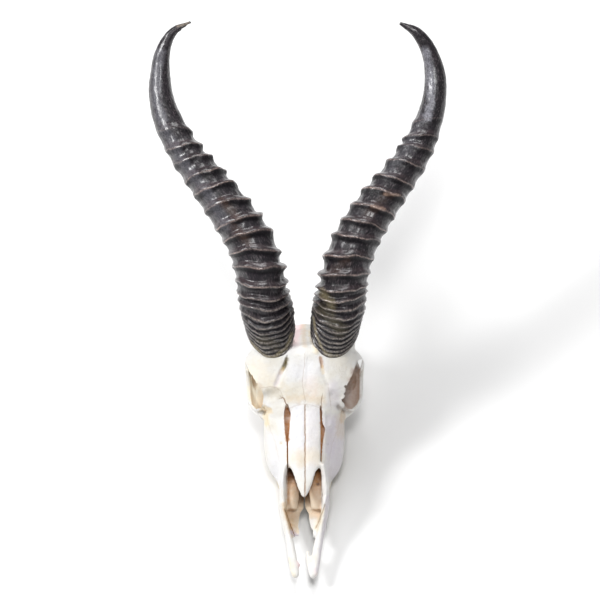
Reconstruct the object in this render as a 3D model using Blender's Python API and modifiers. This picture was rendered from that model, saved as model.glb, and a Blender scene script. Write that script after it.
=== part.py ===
"""Springbok skull with both horns, cleaned and bleached, without the lower jaw.

It rests on a level surface on its cheek teeth and on the two bony spurs under the back of the skull.
The skull is one bone. Each horn is a sheath that sits on a short core of that bone, and each cheek
tooth stands in its own socket. Sizes are in millimetres here and become metres in each mesh.
The snout points along -Y, +Z is up, and +X is the animal's left side.
"""
import math

import bmesh
import bpy
import numpy as np
from mathutils import Vector

MM = 0.001
GAP = 0.3  # clearance between two pieces that touch
SEAT_GAP = 0.5  # the same under a horn, measured along it, where its seat slopes

# The face is seen square on from this height above the level surface. Horn sizes are given
# in that view: side is across, rise is up the view, depth is towards the eye.
FACE_VIEW = math.radians(55)

# Rough voxel of the joined bone, and how many triangles are left after it is thinned
BONE_VOXEL = 1.5
BONE_TRIANGLES = 3300

# Horns: (side, rise, depth, width) of points along each horn's middle, base first
LEFT_HORN = [
    (22.6, 190, -28.5, 34.0), (26.0, 208, -20, 34.5), (30.0, 230, -16, 33.5), (38.0, 252, -17, 31.5),
    (50.0, 273, -20, 28.5), (65.0, 295, -27, 24.5), (79.3, 316, -35, 21.0), (89.0, 338, -41, 17.8),
    (93.8, 356, -44, 15.6), (93.8, 373, -45, 13.0), (89.0, 390, -43, 9.2), (80.5, 402, -40, 6.4),
    (69.3, 409, -37, 2.0),
]
RIGHT_HORN = [
    (25.0, 190, -28.5, 34.0), (28.7, 208, -20, 34.5), (33.3, 230, -16, 33.5), (41.0, 252, -17, 31.5),
    (54.0, 273, -20, 28.5), (70.0, 295, -27, 24.5), (86.0, 316, -35, 22.0), (98.0, 338, -41, 18.0),
    (103.3, 356, -44, 15.5), (104.0, 373, -45, 13.2), (101.0, 390, -43, 9.2), (94.0, 403, -40, 5.2),
    (82.5, 410, -37, 1.2),
]
HORN_DEEP = 1.1  # front to back over side to side at the base
HORN_SIDES = 14
RING_SPACING = (2.2, 12.0)  # along the horn, at the base and where the rings are wide apart
RINGS_WIDE_FROM = 28.0  # distance from the base at which they are
RING_HEIGHT = 2.3  # of which the crest stands out CREST_SHARE, and the rest is cut in
CREST_SHARE = 0.6
RINGS_END = 0.72  # share of the length past which the horn is smooth
BASE_DIP = 17.0  # how far the rim of the base hangs down in front
DIP_FADES = 9.0  # distance along the horn in which the rings lose two thirds of that
CORE_LENGTH = 16.0
CORE_WIDTH = 19.0
CORE_TIP_WIDTH = 12.0

# Cheek teeth, front to back: name, length along the row, width, lobes
TEETH = [
    ("premolar_2", 7.0, 5.6, 1), ("premolar_3", 8.2, 6.8, 1), ("premolar_4", 8.2, 8.0, 1),
    ("molar_1", 10.4, 9.6, 2), ("molar_2", 12.4, 10.4, 2), ("molar_3", 13.4, 9.6, 2),
]
TOOTH_ROW_START = 61.5
TOOTH_ROW = [(62, 11.6), (73, 13.2), (82, 14.2), (91, 15.4), (102, 19.0), (114, 22.0), (124, 23.2)]
TOOTH_TOP = 14.0


def smooth_path(points, steps):
    """Catmull-Rom curve through the points, with this many pieces in each span."""
    p = np.array(points, float)
    before = np.vstack([2 * p[0] - p[1], p, 2 * p[-1] - p[-2]])
    out = []
    for i in range(len(p) - 1):
        a, b, c, d = before[i:i + 4]
        for k in range(steps):
            t = k / steps
            out.append(0.5 * (2 * b + (c - a) * t + (2 * a - 5 * b + 4 * c - d) * t ** 2
                              + (3 * b - a - 3 * c + d) * t ** 3))
    out.append(p[-1])
    return np.array(out)


def new_object(name, mesh, group):
    thing = bpy.data.objects.new(name, mesh)
    group.objects.link(thing)
    return thing


def loft(name, rings, group):
    """Closed skin over rings of equal point counts, capped at both ends."""
    bm = bmesh.new()
    loops = [[bm.verts.new(Vector(p) * MM) for p in ring] for ring in rings]
    count = len(rings[0])
    for lower, upper in zip(loops, loops[1:]):
        for i in range(count):
            j = (i + 1) % count
            bm.faces.new((lower[i], lower[j], upper[j]))
            bm.faces.new((lower[i], upper[j], upper[i]))
    bm.faces.new(list(reversed(loops[0])))
    bm.faces.new(loops[-1])
    bmesh.ops.recalc_face_normals(bm, faces=bm.faces)
    mesh = bpy.data.meshes.new(name)
    bm.to_mesh(mesh)
    bm.free()
    return new_object(name, mesh, group)


def section(back, half):
    """Ring across the skull at this distance back, from its right half, bottom to top."""
    half = smooth_path(half, 3)
    left = [(-x, z) for x, z in half[-2:0:-1]]
    return [(x, back, z) for x, z in [tuple(p) for p in half] + left]


def trunk(name, stations, group):
    """Loft along the skull. A station is its distance back and its half outline."""
    flat = [[back] + [v for point in half for v in point] for back, half in stations]
    rings = []
    for row in smooth_path(flat, 3):
        rings.append(section(row[0], row[1:].reshape(-1, 2)))
    return loft(name, rings, group)


def bar(name, stations, group, side=1, sides=12):
    """Rounded bar along the skull: (back, side, low, high, half width) at each station."""
    rings = []
    for back, across, low, high, half in smooth_path(stations, 3):
        ring = []
        for i in range(sides):
            turn = 2 * math.pi * i / sides
            x = across + half * math.cos(turn)
            z = (low + high) / 2 + (high - low) / 2 * math.sin(turn)
            ring.append((side * x, back, z))
        rings.append(ring)
    return loft(name, rings, group)


def rod(name, stations, group, side=1, sides=10, closed=False):
    """Round rod through (x, y, z, radius) points."""
    rows = list(stations) + [stations[0]] if closed else stations
    path = smooth_path(rows, 3)
    if closed:
        path = smooth_path(rows[-3:-1] + rows + rows[1:3], 3)[6:-6]
    centres = [Vector((side * p[0], p[1], p[2])) for p in path]
    rings = []
    across = None
    for i, centre in enumerate(centres):
        ahead = centres[min(i + 1, len(centres) - 1)] - centres[max(i - 1, 0)]
        if across is None:
            across = ahead.orthogonal()
        across = (across - across.project(ahead)).normalized()
        other = ahead.cross(across).normalized()
        ring = []
        for k in range(sides):
            turn = 2 * math.pi * k / sides
            ring.append(centre + float(path[i][3]) * (math.cos(turn) * across + math.sin(turn) * other))
        rings.append(ring)
    return loft(name, rings, group)


def ball(name, centre, radii, group):
    bm = bmesh.new()
    bmesh.ops.create_uvsphere(bm, u_segments=16, v_segments=10, radius=1)
    for vert in bm.verts:
        vert.co = Vector([(c + v * r) * MM for c, v, r in zip(centre, vert.co, radii)])
    mesh = bpy.data.meshes.new(name)
    bm.to_mesh(mesh)
    bm.free()
    return new_object(name, mesh, group)


def join(name, things, group):
    """One object from several, which stay separate shells until they are remeshed or cut."""
    bm = bmesh.new()
    for thing in things:
        bm.from_mesh(thing.data)
    mesh = bpy.data.meshes.new(name)
    bm.to_mesh(mesh)
    bm.free()
    for thing in things:
        bpy.data.objects.remove(thing)
    return new_object(name, mesh, group)


def settle(thing):
    """Bake the modifiers of an object into its mesh."""
    graph = bpy.context.evaluated_depsgraph_get()
    graph.update()
    mesh = bpy.data.meshes.new_from_object(thing.evaluated_get(graph))
    thing.modifiers.clear()
    thing.data = mesh
    return thing


def remesh(thing, voxel, rounds):
    union = thing.modifiers.new("union", "REMESH")
    union.mode = "VOXEL"
    union.voxel_size = voxel * MM
    smooth = thing.modifiers.new("smooth", "SMOOTH")
    smooth.factor = 0.5
    smooth.iterations = rounds
    return settle(thing)


def combine(thing, other, operation):
    cut = thing.modifiers.new(operation.lower(), "BOOLEAN")
    cut.operation = operation
    cut.object = other
    settle(thing)
    return thing


def from_face_view(side, rise, depth):
    """Point given in the square view of the face, as a point of the model."""
    up = math.sin(FACE_VIEW)
    out = math.cos(FACE_VIEW)
    return Vector((side, rise * up - depth * out, rise * out + depth * up))


class Horn:
    """Middle line, widths and rings of one horn, by distance along it."""

    def __init__(self, points, side):
        self.side = side
        rows = smooth_path(points, 12)
        self.middle = [from_face_view(side * r[0], r[1], r[2]) for r in rows]
        self.widths = rows[:, 3]
        steps = [(b - a).length for a, b in zip(self.middle, self.middle[1:])]
        self.along = np.concatenate([[0], np.cumsum(steps)])
        self.length = self.along[-1]
        self.toward_eye = from_face_view(0, 0, 1)

    def at(self, distance):
        spot = [np.interp(distance, self.along, [p[i] for p in self.middle]) for i in range(3)]
        return Vector(spot)

    def width(self, distance):
        return float(np.interp(distance, self.along, self.widths))

    def axes(self, distance):
        near = max(min(distance, self.length - 1), 1)
        ahead = (self.at(near + 1) - self.at(near - 1)).normalized()
        front = (self.toward_eye - self.toward_eye.project(ahead)).normalized()
        inward = front.cross(ahead) * self.side
        return ahead, front, inward

    def dip(self, distance):
        return BASE_DIP * math.exp(-distance / DIP_FADES)

    def ring(self, distance, relief=0.0, grow=0.0, width=None):
        """Section at a distance along the horn. The front of the lower ones hangs down."""
        centre = self.at(distance)
        ahead, front, inward = self.axes(distance)
        half = (self.width(distance) if width is None else width) / 2 + grow
        deep = half * (HORN_DEEP + (1 - HORN_DEEP) * min(1, distance / (0.6 * self.length)))
        ring = []
        for i in range(HORN_SIDES):
            turn = 2 * math.pi * i / HORN_SIDES
            frontness = (1 + math.cos(turn)) / 2
            swell = relief * (0.75 + 0.35 * math.sin(turn))
            out = front * math.cos(turn) * (deep + swell) + inward * math.sin(turn) * (half + swell)
            ring.append(centre + out - ahead * self.dip(distance) * frontness ** 2)
        return ring

    def ring_places(self):
        """Valley and crest of each ring. The crest is at the tip end of its swell."""
        places = []
        distance = 0.0
        end = RINGS_END * self.length
        while distance < end:
            spread = min(1, distance / RINGS_WIDE_FROM)
            pitch = RING_SPACING[0] + (RING_SPACING[1] - RING_SPACING[0]) * spread
            fade = min(1, (distance + 4) / 30, (end - distance) / 40 + 0.2)
            places.append((distance + 0.15 * pitch, (CREST_SHARE - 1) * RING_HEIGHT * fade))
            places.append((distance + 0.85 * pitch, CREST_SHARE * RING_HEIGHT * fade))
            distance += pitch
        return places

    def core_rings(self, grow):
        """The bony core that the sheath sits on, or with grow the socket round it."""
        rings = []
        for share in (-0.35, 0.0, 0.35, 0.7, 1.0):
            distance = CORE_LENGTH * share
            width = CORE_WIDTH + (CORE_TIP_WIDTH - CORE_WIDTH) * max(0, share)
            centre = self.at(0) + self.axes(0)[0] * (distance + grow * max(0, share))
            base = self.ring(0, width=width, grow=grow)
            drop = self.at(0)
            flat = [p - drop + self.axes(0)[0] * (self.axes(0)[0].dot(drop - p)) for p in base]
            rings.append([centre + p for p in flat])
        return rings

    def underside(self):
        """Rings of the face that the sheath stands on, from its socket out to its rim."""
        return [self.core_rings(GAP)[1], self.ring(0, grow=-3.0), self.ring(0, grow=-0.6)]


def make_horn(name, points, side, group):
    horn = Horn(points, side)
    rings = list(reversed(horn.core_rings(GAP)[2:])) + horn.underside()
    for distance, relief in horn.ring_places():
        rings.append(horn.ring(distance, relief))
    smooth_from = horn.ring_places()[-1][0]
    for share in (0.15, 0.32, 0.5, 0.66, 0.8, 0.9, 0.97, 1.0):
        rings.append(horn.ring(smooth_from + (horn.length - smooth_from) * share))
    horn = loft(name, rings, group)
    horn.data.shade_smooth()
    horn.data.set_sharp_from_angle(angle=math.radians(50))
    return horn


def horn_clearance(points, side, group):
    """What the horn and the gap round it take out of the bone."""
    horn = Horn(points, side)
    lower = horn.axes(0)[0] * SEAT_GAP
    rings = [[p - lower for p in ring] for ring in horn.underside()]
    rings.append([p - lower for p in horn.ring(0, grow=GAP)])
    for distance in (3, 7, 12, 18, 26, 36):
        rings.append(horn.ring(distance, relief=RING_HEIGHT, grow=GAP))
    return loft("horn_clearance", rings, group)


def make_material(name, colour, roughness):
    material = bpy.data.materials.new(name)
    material.use_nodes = True
    shader = material.node_tree.nodes["Principled BSDF"]
    shader.inputs["Base Color"].default_value = (*colour, 1)
    shader.inputs["Roughness"].default_value = roughness
    shader.inputs["Metallic"].default_value = 0
    return material


# Face: distance back from the tip of the snout, then half outlines from the palate to the nose
FACE = [
    (58, [(0, 12), (9, 11.5), (14.5, 9.5), (17, 17), (16.8, 25), (10, 28), (0, 28)]),
    (68, [(0, 13), (9, 12.5), (15.4, 9.5), (17.4, 19), (17, 31), (11, 35), (0, 35)]),
    (78, [(0, 14), (9.5, 13.5), (16.6, 9.5), (18.2, 19), (17.6, 34), (12, 42), (0, 44)]),
    (84, [(0, 14.5), (10, 14), (17.4, 9.5), (20.2, 20), (19, 36), (12.2, 45), (0, 47.5)]),
    (90, [(0, 15), (11, 14), (19, 9.5), (25.2, 20), (21.5, 37), (12.5, 48), (0, 51)]),
    (100, [(0, 16), (13, 14.5), (23.5, 9.8), (28, 22), (24, 40), (12.5, 52), (0, 54.5)]),
    (112, [(0, 17), (14, 15.5), (26.5, 10.5), (29, 27), (26, 45), (13.5, 57), (0, 59.5)]),
    (122, [(0, 18), (15, 17), (26.5, 12), (29.2, 32), (27, 50), (16, 61), (0, 64)]),
    (129, [(0, 21), (12, 20), (22, 17), (26, 35), (24, 50), (16, 63), (0, 68)]),
]
FOREHEAD = [
    (114, [(0, 50), (14, 49), (20, 48), (22, 52), (14, 59), (0, 61)]),
    (122, [(0, 54), (16, 53), (26, 52), (29, 56), (17, 64), (0, 65.5)]),
    (131, [(0, 60), (18, 59), (30, 60), (34, 64.5), (21, 70.5), (0, 71.5)]),
    (141, [(0, 66), (20, 64), (34, 63.5), (38.5, 68), (25, 76.5), (0, 77.5)]),
    (150, [(0, 70), (22, 66), (38, 62), (42.5, 67), (27, 80.5), (0, 83)]),
    (157, [(0, 70), (22, 64), (37.5, 59), (42.3, 66.5), (29, 79), (0, 82)]),
    (165, [(0, 64), (18, 60), (30, 58), (36.5, 66), (26, 74), (0, 75)]),
]
BRAINCASE = [
    (118, [(0, 20), (8, 21), (13, 28), (15, 42), (13, 54), (0, 58)]),
    (135, [(0, 21), (8, 22), (12, 30), (13, 44), (14, 58), (0, 66)]),
    (148, [(0, 22), (9, 23), (15, 30), (19, 45), (19, 62), (0, 76)]),
    (160, [(0, 22), (11, 23), (21, 30), (27, 46), (24, 64), (0, 76)]),
    (172, [(0, 21), (12, 22), (25, 28), (30, 46), (25, 60), (0, 68.5)]),
    (184, [(0, 21), (11, 22), (25, 28), (29, 42), (22, 54), (0, 60.5)]),
    (192, [(0, 22), (10, 24), (20, 28), (24, 38), (18, 47), (0, 53)]),
    (197, [(0, 25), (6, 26), (12, 30), (14, 36), (10, 43), (0, 47)]),
]
NASALS = [(55.5, 38.0, 0.9), (59, 39.5, 3.2), (66, 42.2, 6.2), (74, 45.4, 9.0), (79, 47.4, 11.2),
          (90, 51.6, 11.6), (105, 57.4, 11.4), (118, 62.8, 10.4)]
NASAL_THICK = 3.0
NOSE_CAVITY = [
    (48, [(0, 18), (7, 18), (10.5, 22), (11, 28), (8, 33), (0, 34)]),
    (58, [(0, 18), (9, 18), (12.8, 23), (12.8, 29), (9, 32.5), (0, 33)]),
    (68, [(0, 18), (10, 18), (13, 24), (13, 33), (10, 38.2), (0, 38.6)]),
    (75, [(0, 18), (10.5, 18), (13.5, 24), (13, 36), (10.5, 41.5), (0, 42.2)]),
    (82, [(0, 18), (11, 18), (14.5, 24), (13, 38), (10.5, 43.5), (0, 44.8)]),
    (95, [(0, 19), (12, 19), (16, 26), (14, 40), (10.5, 47.5), (0, 49.8)]),
    (108, [(0, 21), (12, 21), (16, 28), (14, 42), (10.5, 51), (0, 53.5)]),
    (113, [(0, 26), (8, 27), (11, 32), (10, 42), (8, 49), (0, 51)]),
]
# Bars of bone: back, side, low, high, half width
PREMAXILLA = [(1.5, 6.2, 11, 14, 1.6), (5, 6.6, 10, 15, 3.0), (14, 8.0, 10, 16, 3.2), (24, 9.4, 10.5, 18, 3.1),
              (36, 11.4, 11, 21, 2.9), (48, 13.8, 12, 27, 2.7), (60, 15.4, 15, 34, 2.5),
              (70, 15.4, 24, 41, 2.4), (79, 13.4, 37, 47.5, 1.8)]
MAXILLA_EDGE = [(38, 10.5, 11, 15, 1.8), (48, 13.2, 10, 18, 2.5), (58, 15, 9.5, 22, 3), (66, 15.5, 9.5, 26, 3)]
PTERYGOID = [(119, 11, 10, 20, 1.6), (128, 11.5, 8, 24, 1.6), (138, 12, 10, 26, 1.6), (145, 12, 17, 28, 1.5)]
# Front of the palate: distance back and half width of a plate, and the gap cut in it in the face view
PALATE = [(36.5, 10.0), (44, 12.0), (54, 14.5), (66, 15.5)]
PALATE_LEVELS = (11.8, 15.6)
PALATE_GAP = [(0.2, 58.7), (1.9, 56.6), (3.4, 53.7), (3.7, 49.4), (4.8, 44.4), (6.4, 42.5), (6.4, 34),
              (-6.6, 34), (-6.6, 38.4), (-4.2, 38.4), (-3.6, 41), (-4.5, 45.1), (-3.8, 50.1), (-3.1, 54.4)]
PALATE_GAP_DEPTH = (-42.0, -4.0)
# Round rods of bone: side, back, height, radius
PREMAXILLA_SPUR = [(5.0, 5.5, 12.6, 1.9), (3.4, 12, 12.6, 1.8), (2.6, 19, 12.6, 1.6), (2.6, 25.5, 12.6, 1.1)]
PREMAXILLA_NUB = [(-7.0, 12.5, 12.6, 2.4), (-4.6, 13, 12.6, 2.2), (-2.8, 13.5, 12.6, 1.6)]
CHEEK_ARCH = [(23.5, 126, 34, 5), (31.5, 132, 36, 4.4), (37, 138, 37.5, 4.2), (39, 147, 38.5, 4), (38.6, 158, 40, 4),
              (35.5, 169, 41.5, 3.8), (29, 180, 42, 4.5)]
ORBIT_RIM = [(33.2, 133, 65.5, 2.2), (37.6, 141, 68, 2.2), (41, 151, 66, 2.4), (41, 156.5, 57, 2.6),
             (40.2, 154.5, 46, 2.6), (39.9, 143, 41, 2.4), (37.6, 134, 40.5, 2.2), (34.3, 128, 43, 2.2),
             (31, 126, 50, 2.3), (30.8, 127, 58, 2.3)]
NUCHAL_CREST = [(-26, 183, 37, 2.5), (-21, 189.5, 44, 2.8), (-11, 194, 48, 2.8), (0, 195, 49.5, 3),
                (11, 194, 48, 2.8), (21, 189.5, 44, 2.8), (26, 183, 37, 2.5)]
REAR_SPUR = [(22, 186, 32, 5), (23, 187, 20, 3.8), (23, 187, 9, 2.8), (22.5, 186.5, -3.5, 2.4)]
PEDICLE = [(21, 157, 58, 13), (22, 163, 70, 14.5), (23, 172, 86, 15)]
ORBIT = ((40, 139, 54), (24, 14.5, 13))
CONDYLE = ((8.5, 199, 26), (6, 6.5, 6))
FORAMEN_MAGNUM = [(0, 184, 34, 6), (0, 192, 33, 7), (0, 206, 32, 7.5)]
EAR_BULLA = ((14.5, 171, 17), (8, 11, 8))
SOCKET_FLOOR = ((28, 140, 36), (10, 14, 6.5))
JAW_SEAT = ((28, 166.5, 37), (11.5, 15, 6.5))
# Slits beside the nasals, from the rear: back, side, half width
LEFT_SLIT = [(118, 11.7, 0.6), (114, 12.0, 0.9), (108, 12.2, 0.7), (104, 13.4, 1.7), (97, 12.6, 0.9),
             (88, 12.2, 0.5), (81, 12.0, 0.4)]
RIGHT_SLIT = [(119, 12.6, 0.8), (114, 12.2, 2.4), (107, 12.4, 2.0), (101, 12.3, 1.5), (94, 12.2, 0.6),
              (86, 12.1, 0.5), (76, 12.0, 0.5)]
SLIT_REACH = (40, 78)  # heights between which the slits are cut
# Pit over each eye: side, back, height, radius along its length
LEFT_PIT = [(12.6, 147, 82.5, 1.3), (12.4, 143, 79.6, 1.8), (12.2, 138.5, 77.3, 1.1)]
RIGHT_PIT = [(-12.2, 147, 82.5, 1.3), (-13.6, 143, 79.6, 1.9), (-15.4, 138.5, 77.3, 1.1)]
# Broken edge of the left eye socket in the face view: side, rise
BROKEN_EDGE = [(37.9, 163.9), (35.8, 158.1), (32.9, 150.9), (30.7, 146.6), (28.6, 145.9), (29.7, 142.3),
               (28.6, 137.6), (26.8, 136.5), (28.9, 133.6), (29.3, 131.5), (33.0, 131.5), (34.5, 145), (38.5, 160)]
BROKEN_DEPTH = (-33.0, -12.0)


def nasal_section(height, half):
    under = height - NASAL_THICK
    return [(0, under), (half * 0.6, under - 0.3), (half, under + 0.2), (half, height - 1.5),
            (half * 0.6, height - 0.3), (0, height)]


def palate_section(half):
    low, high = PALATE_LEVELS
    return [(0, low), (half * 0.6, low), (half - 1, low), (half, (low + high) / 2), (half - 1, high), (0, high)]


def face_prism(name, outline, depths, group):
    """Prism along the line of sight, with this outline in the square view of the face."""
    rings = [[from_face_view(side, rise, depth) for side, rise in outline] for depth in depths]
    return loft(name, rings, group)


def slit(name, stations, side, group):
    low, high = SLIT_REACH
    rings = []
    for back, across, half in stations:
        corners = ((-half, low), (half, low), (half, high), (-half, high))
        rings.append([(side * (across + dx), back, z) for dx, z in corners])
    return loft(name, rings, group)


def floor_block(group):
    """Everything below the level surface, so that the spurs end flat on it."""
    corners = [(-60, 60), (60, 60), (60, 230), (-60, 230)]
    return loft("floor_block", [[(x, y, z) for x, y in corners] for z in (-20, 0)], group)


def make_bone(group, cutters):
    parts = [
        trunk("face", FACE, group),
        trunk("forehead", FOREHEAD, group),
        trunk("braincase", BRAINCASE, group),
        trunk("nasals", [(s, nasal_section(z, w)) for s, z, w in NASALS], group),
        trunk("palate", [(back, palate_section(half)) for back, half in PALATE], group),
        rod("nuchal_crest", NUCHAL_CREST, group),
        rod("premaxilla_spur", PREMAXILLA_SPUR, group),
        rod("premaxilla_nub", PREMAXILLA_NUB, group),
    ]
    for side in (1, -1):
        parts.append(bar("premaxilla", PREMAXILLA, group, side))
        parts.append(bar("maxilla_edge", MAXILLA_EDGE, group, side))
        parts.append(bar("pterygoid", PTERYGOID, group, side))
        parts.append(rod("cheek_arch", CHEEK_ARCH, group, side))
        parts.append(rod("orbit_rim", ORBIT_RIM, group, side, closed=True))
        parts.append(rod("rear_spur", REAR_SPUR, group, side))
        parts.append(rod("pedicle", PEDICLE, group, side, sides=16))
        for centre, radii in (CONDYLE, EAR_BULLA, SOCKET_FLOOR, JAW_SEAT):
            parts.append(ball("ball", (side * centre[0], *centre[1:]), radii, group))
    bone = remesh(join("skull", parts, group), BONE_VOXEL, 4)
    holes = [trunk("nose_cavity", NOSE_CAVITY, cutters), rod("foramen_magnum", FORAMEN_MAGNUM, cutters, sides=16)]
    for side in (1, -1):
        holes.append(ball("orbit", (side * ORBIT[0][0], *ORBIT[0][1:]), ORBIT[1], cutters))
    for hole in holes:
        combine(bone, hole, "DIFFERENCE")
    remesh(bone, BONE_VOXEL, 3)
    count = sum(len(p.vertices) - 2 for p in bone.data.polygons)
    thin = bone.modifiers.new("thin", "DECIMATE")
    thin.ratio = BONE_TRIANGLES / count
    thin.use_collapse_triangulate = True
    settle(bone)
    fine_cuts = [
        slit("left_slit", LEFT_SLIT, 1, cutters),
        slit("right_slit", RIGHT_SLIT, -1, cutters),
        rod("left_pit", LEFT_PIT, cutters),
        rod("right_pit", RIGHT_PIT, cutters),
        face_prism("broken_edge", BROKEN_EDGE, BROKEN_DEPTH, cutters),
        face_prism("palate_gap", PALATE_GAP, PALATE_GAP_DEPTH, cutters),
        floor_block(cutters),
    ]
    for cut in fine_cuts:
        combine(bone, cut, "DIFFERENCE")
    return bone


def tooth_places():
    """Name, centre, direction along the row, length, width and lobes of each tooth of one side."""
    row = smooth_path(TOOTH_ROW, 8)
    back = TOOTH_ROW_START
    for name, length, width, lobes in TEETH:
        middle = back + length / 2
        across = float(np.interp(middle, row[:, 0], row[:, 1]))
        slope = float(np.interp(middle + 2, row[:, 0], row[:, 1])) - across
        yield name, (across, middle), Vector((slope, 2, 0)).normalized(), length, width, lobes
        back += length


def make_tooth(name, place, side, group, grow=0.0):
    centre, along, length, width, lobes = place
    across = Vector((along.y, -along.x, 0))
    rings = []
    for height, share in ((0, 0.9), (TOOTH_TOP - 5, 1.0), (TOOTH_TOP + grow, 0.8)):
        ring = []
        for i in range(12):
            turn = 2 * math.pi * i / 12
            x = math.copysign(abs(math.cos(turn)) ** 0.7, math.cos(turn))
            y = math.copysign(abs(math.sin(turn)) ** 0.7, math.sin(turn))
            waist = 1 - 0.16 * (lobes - 1) * (1 - abs(y)) ** 1.5
            half_long = (length / 2 - GAP / 2) * share + grow
            half_wide = width / 2 * share * waist + grow
            spot = Vector((*centre, 0)) + along * (y * half_long) + across * (x * half_wide)
            ring.append((side * spot.x, spot.y, height - (grow if height == 0 else 0)))
        rings.append(ring)
    return loft(name, rings, group)


def stand_on_origin(things):
    """Move the meshes so that the middle of the bottom of their common box is the origin."""
    corners = [v.co for thing in things for v in thing.data.vertices]
    low = [min(c[i] for c in corners) for i in range(3)]
    high = [max(c[i] for c in corners) for i in range(3)]
    shift = Vector((-(low[0] + high[0]) / 2, -(low[1] + high[1]) / 2, 0))
    for thing in things:
        for vert in thing.data.vertices:
            vert.co += shift


def main():
    for thing in list(bpy.data.objects):
        bpy.data.objects.remove(thing)
    group = bpy.data.collections.new("springbok_skull")
    cutters = bpy.data.collections.new("cutters")
    for made in (group, cutters):
        bpy.context.scene.collection.children.link(made)
    bone_look = make_material("bleached_bone", (0.86, 0.82, 0.74), 0.6)
    horn_look = make_material("dark_horn", (0.035, 0.03, 0.03), 0.4)
    tooth_look = make_material("tooth", (0.78, 0.72, 0.58), 0.35)

    bone = make_bone(group, cutters)
    for name, points, side in (("left_horn", LEFT_HORN, 1), ("right_horn", RIGHT_HORN, -1)):
        combine(bone, horn_clearance(points, side, cutters), "DIFFERENCE")
        core = loft("core", Horn(points, side).core_rings(0), cutters)
        combine(bone, core, "UNION")
        horn = make_horn(name, points, side, group)
        horn.data.materials.append(horn_look)
    for side, word in ((1, "left"), (-1, "right")):
        for name, *place in tooth_places():
            combine(bone, make_tooth("socket", place, side, cutters, GAP), "DIFFERENCE")
            tooth = make_tooth(f"{word}_{name}", place, side, group)
            tooth.data.materials.append(tooth_look)
    bone.data.materials.clear()
    bone.data.materials.append(bone_look)
    stand_on_origin(group.objects)
    for cutter in cutters.objects:
        cutter.hide_render = True
        cutter.display_type = "WIRE"


main()
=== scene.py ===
"""Springbok skull with both horns, standing on a pale floor and seen from above the face.

Sizes are in millimetres and become metres in each mesh. The snout points along -Y, +Z is up and
+X is the animal's left side. Bone is given as side, back from the tip of the snout, and height.
"""
import math

import bpy
import numpy as np
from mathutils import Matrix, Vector, bvhtree, noise


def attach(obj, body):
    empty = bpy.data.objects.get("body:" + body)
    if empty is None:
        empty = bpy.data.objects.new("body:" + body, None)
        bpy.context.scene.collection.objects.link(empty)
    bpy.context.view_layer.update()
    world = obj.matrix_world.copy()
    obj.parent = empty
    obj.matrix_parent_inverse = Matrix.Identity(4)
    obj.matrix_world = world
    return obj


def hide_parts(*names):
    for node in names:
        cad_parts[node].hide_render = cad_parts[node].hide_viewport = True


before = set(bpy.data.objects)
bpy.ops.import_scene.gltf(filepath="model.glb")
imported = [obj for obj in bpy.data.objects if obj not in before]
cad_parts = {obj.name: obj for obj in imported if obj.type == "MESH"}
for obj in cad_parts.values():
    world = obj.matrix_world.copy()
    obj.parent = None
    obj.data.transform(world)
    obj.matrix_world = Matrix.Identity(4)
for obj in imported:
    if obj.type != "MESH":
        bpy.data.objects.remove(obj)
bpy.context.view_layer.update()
bpy.ops.object.select_all(action="DESELECT")

# Camera
# The face is seen nearly square on from above, through a long lens from six metres away, so the
# camera stands in front of the snout and looks down at it. What is seen square on is given as
# side, rise up the view and depth towards the eye.
MM = 0.001
SNOUT_TIP = Vector((4.82, -180.02, 0))
FACE_VIEW = math.radians(55)
VIEW_MIDDLE = (-3.1, 208.5)
VIEW_WIDTH = 432
VIEW_DISTANCE = 6000


def from_face_view(side, rise, depth):
    up, out = math.sin(FACE_VIEW), math.cos(FACE_VIEW)
    return Vector((side, rise * up - depth * out, rise * out + depth * up))


bpy.ops.object.camera_add()
camera = bpy.context.object
camera.name = "camera"
camera.location = (from_face_view(*VIEW_MIDDLE, VIEW_DISTANCE) + SNOUT_TIP) * MM
camera.rotation_euler = (math.radians(90) - FACE_VIEW, 0, 0)
camera.data.lens = camera.data.sensor_width * VIEW_DISTANCE / VIEW_WIDTH
camera.data.clip_end = 20
bpy.context.scene.camera = camera

# Skull bone
# One cleaned and bleached bone without the lower jaw. It grew as plates that met along sutures, so
# it is blocked out from the same parts as the solid, fused, hollowed and cut along those sutures.
BONE_VOXEL = 0.95
# Half outlines from bottom to top, as side and height, at each distance back
FACE = [
    (58, [(0, 12), (9, 11.5), (14.5, 9.5), (17, 17), (16.8, 25), (10, 28), (0, 28)]),
    (68, [(0, 13), (9, 12.5), (15.4, 9.5), (17.4, 19), (17, 31), (11, 35), (0, 35)]),
    (78, [(0, 14), (9.5, 13.5), (16.6, 9.5), (18.2, 19), (17.6, 34), (12, 42), (0, 44)]),
    (84, [(0, 14.5), (10, 14), (17.4, 9.5), (20.2, 20), (19, 36), (12.2, 45), (0, 47.5)]),
    (90, [(0, 15), (11, 14), (19, 9.5), (25.2, 20), (21.5, 37), (12.5, 48), (0, 51)]),
    (100, [(0, 16), (13, 14.5), (23.5, 9.8), (28, 22), (24, 40), (12.5, 52), (0, 54.5)]),
    (112, [(0, 17), (14, 15.5), (26.5, 10.5), (29, 27), (26, 45), (13.5, 57), (0, 59.5)]),
    (122, [(0, 18), (15, 17), (26.5, 12), (29.2, 32), (27, 50), (16, 61), (0, 64)]),
    (129, [(0, 21), (12, 20), (22, 17), (26, 35), (24, 50), (16, 63), (0, 68)]),
]
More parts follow.
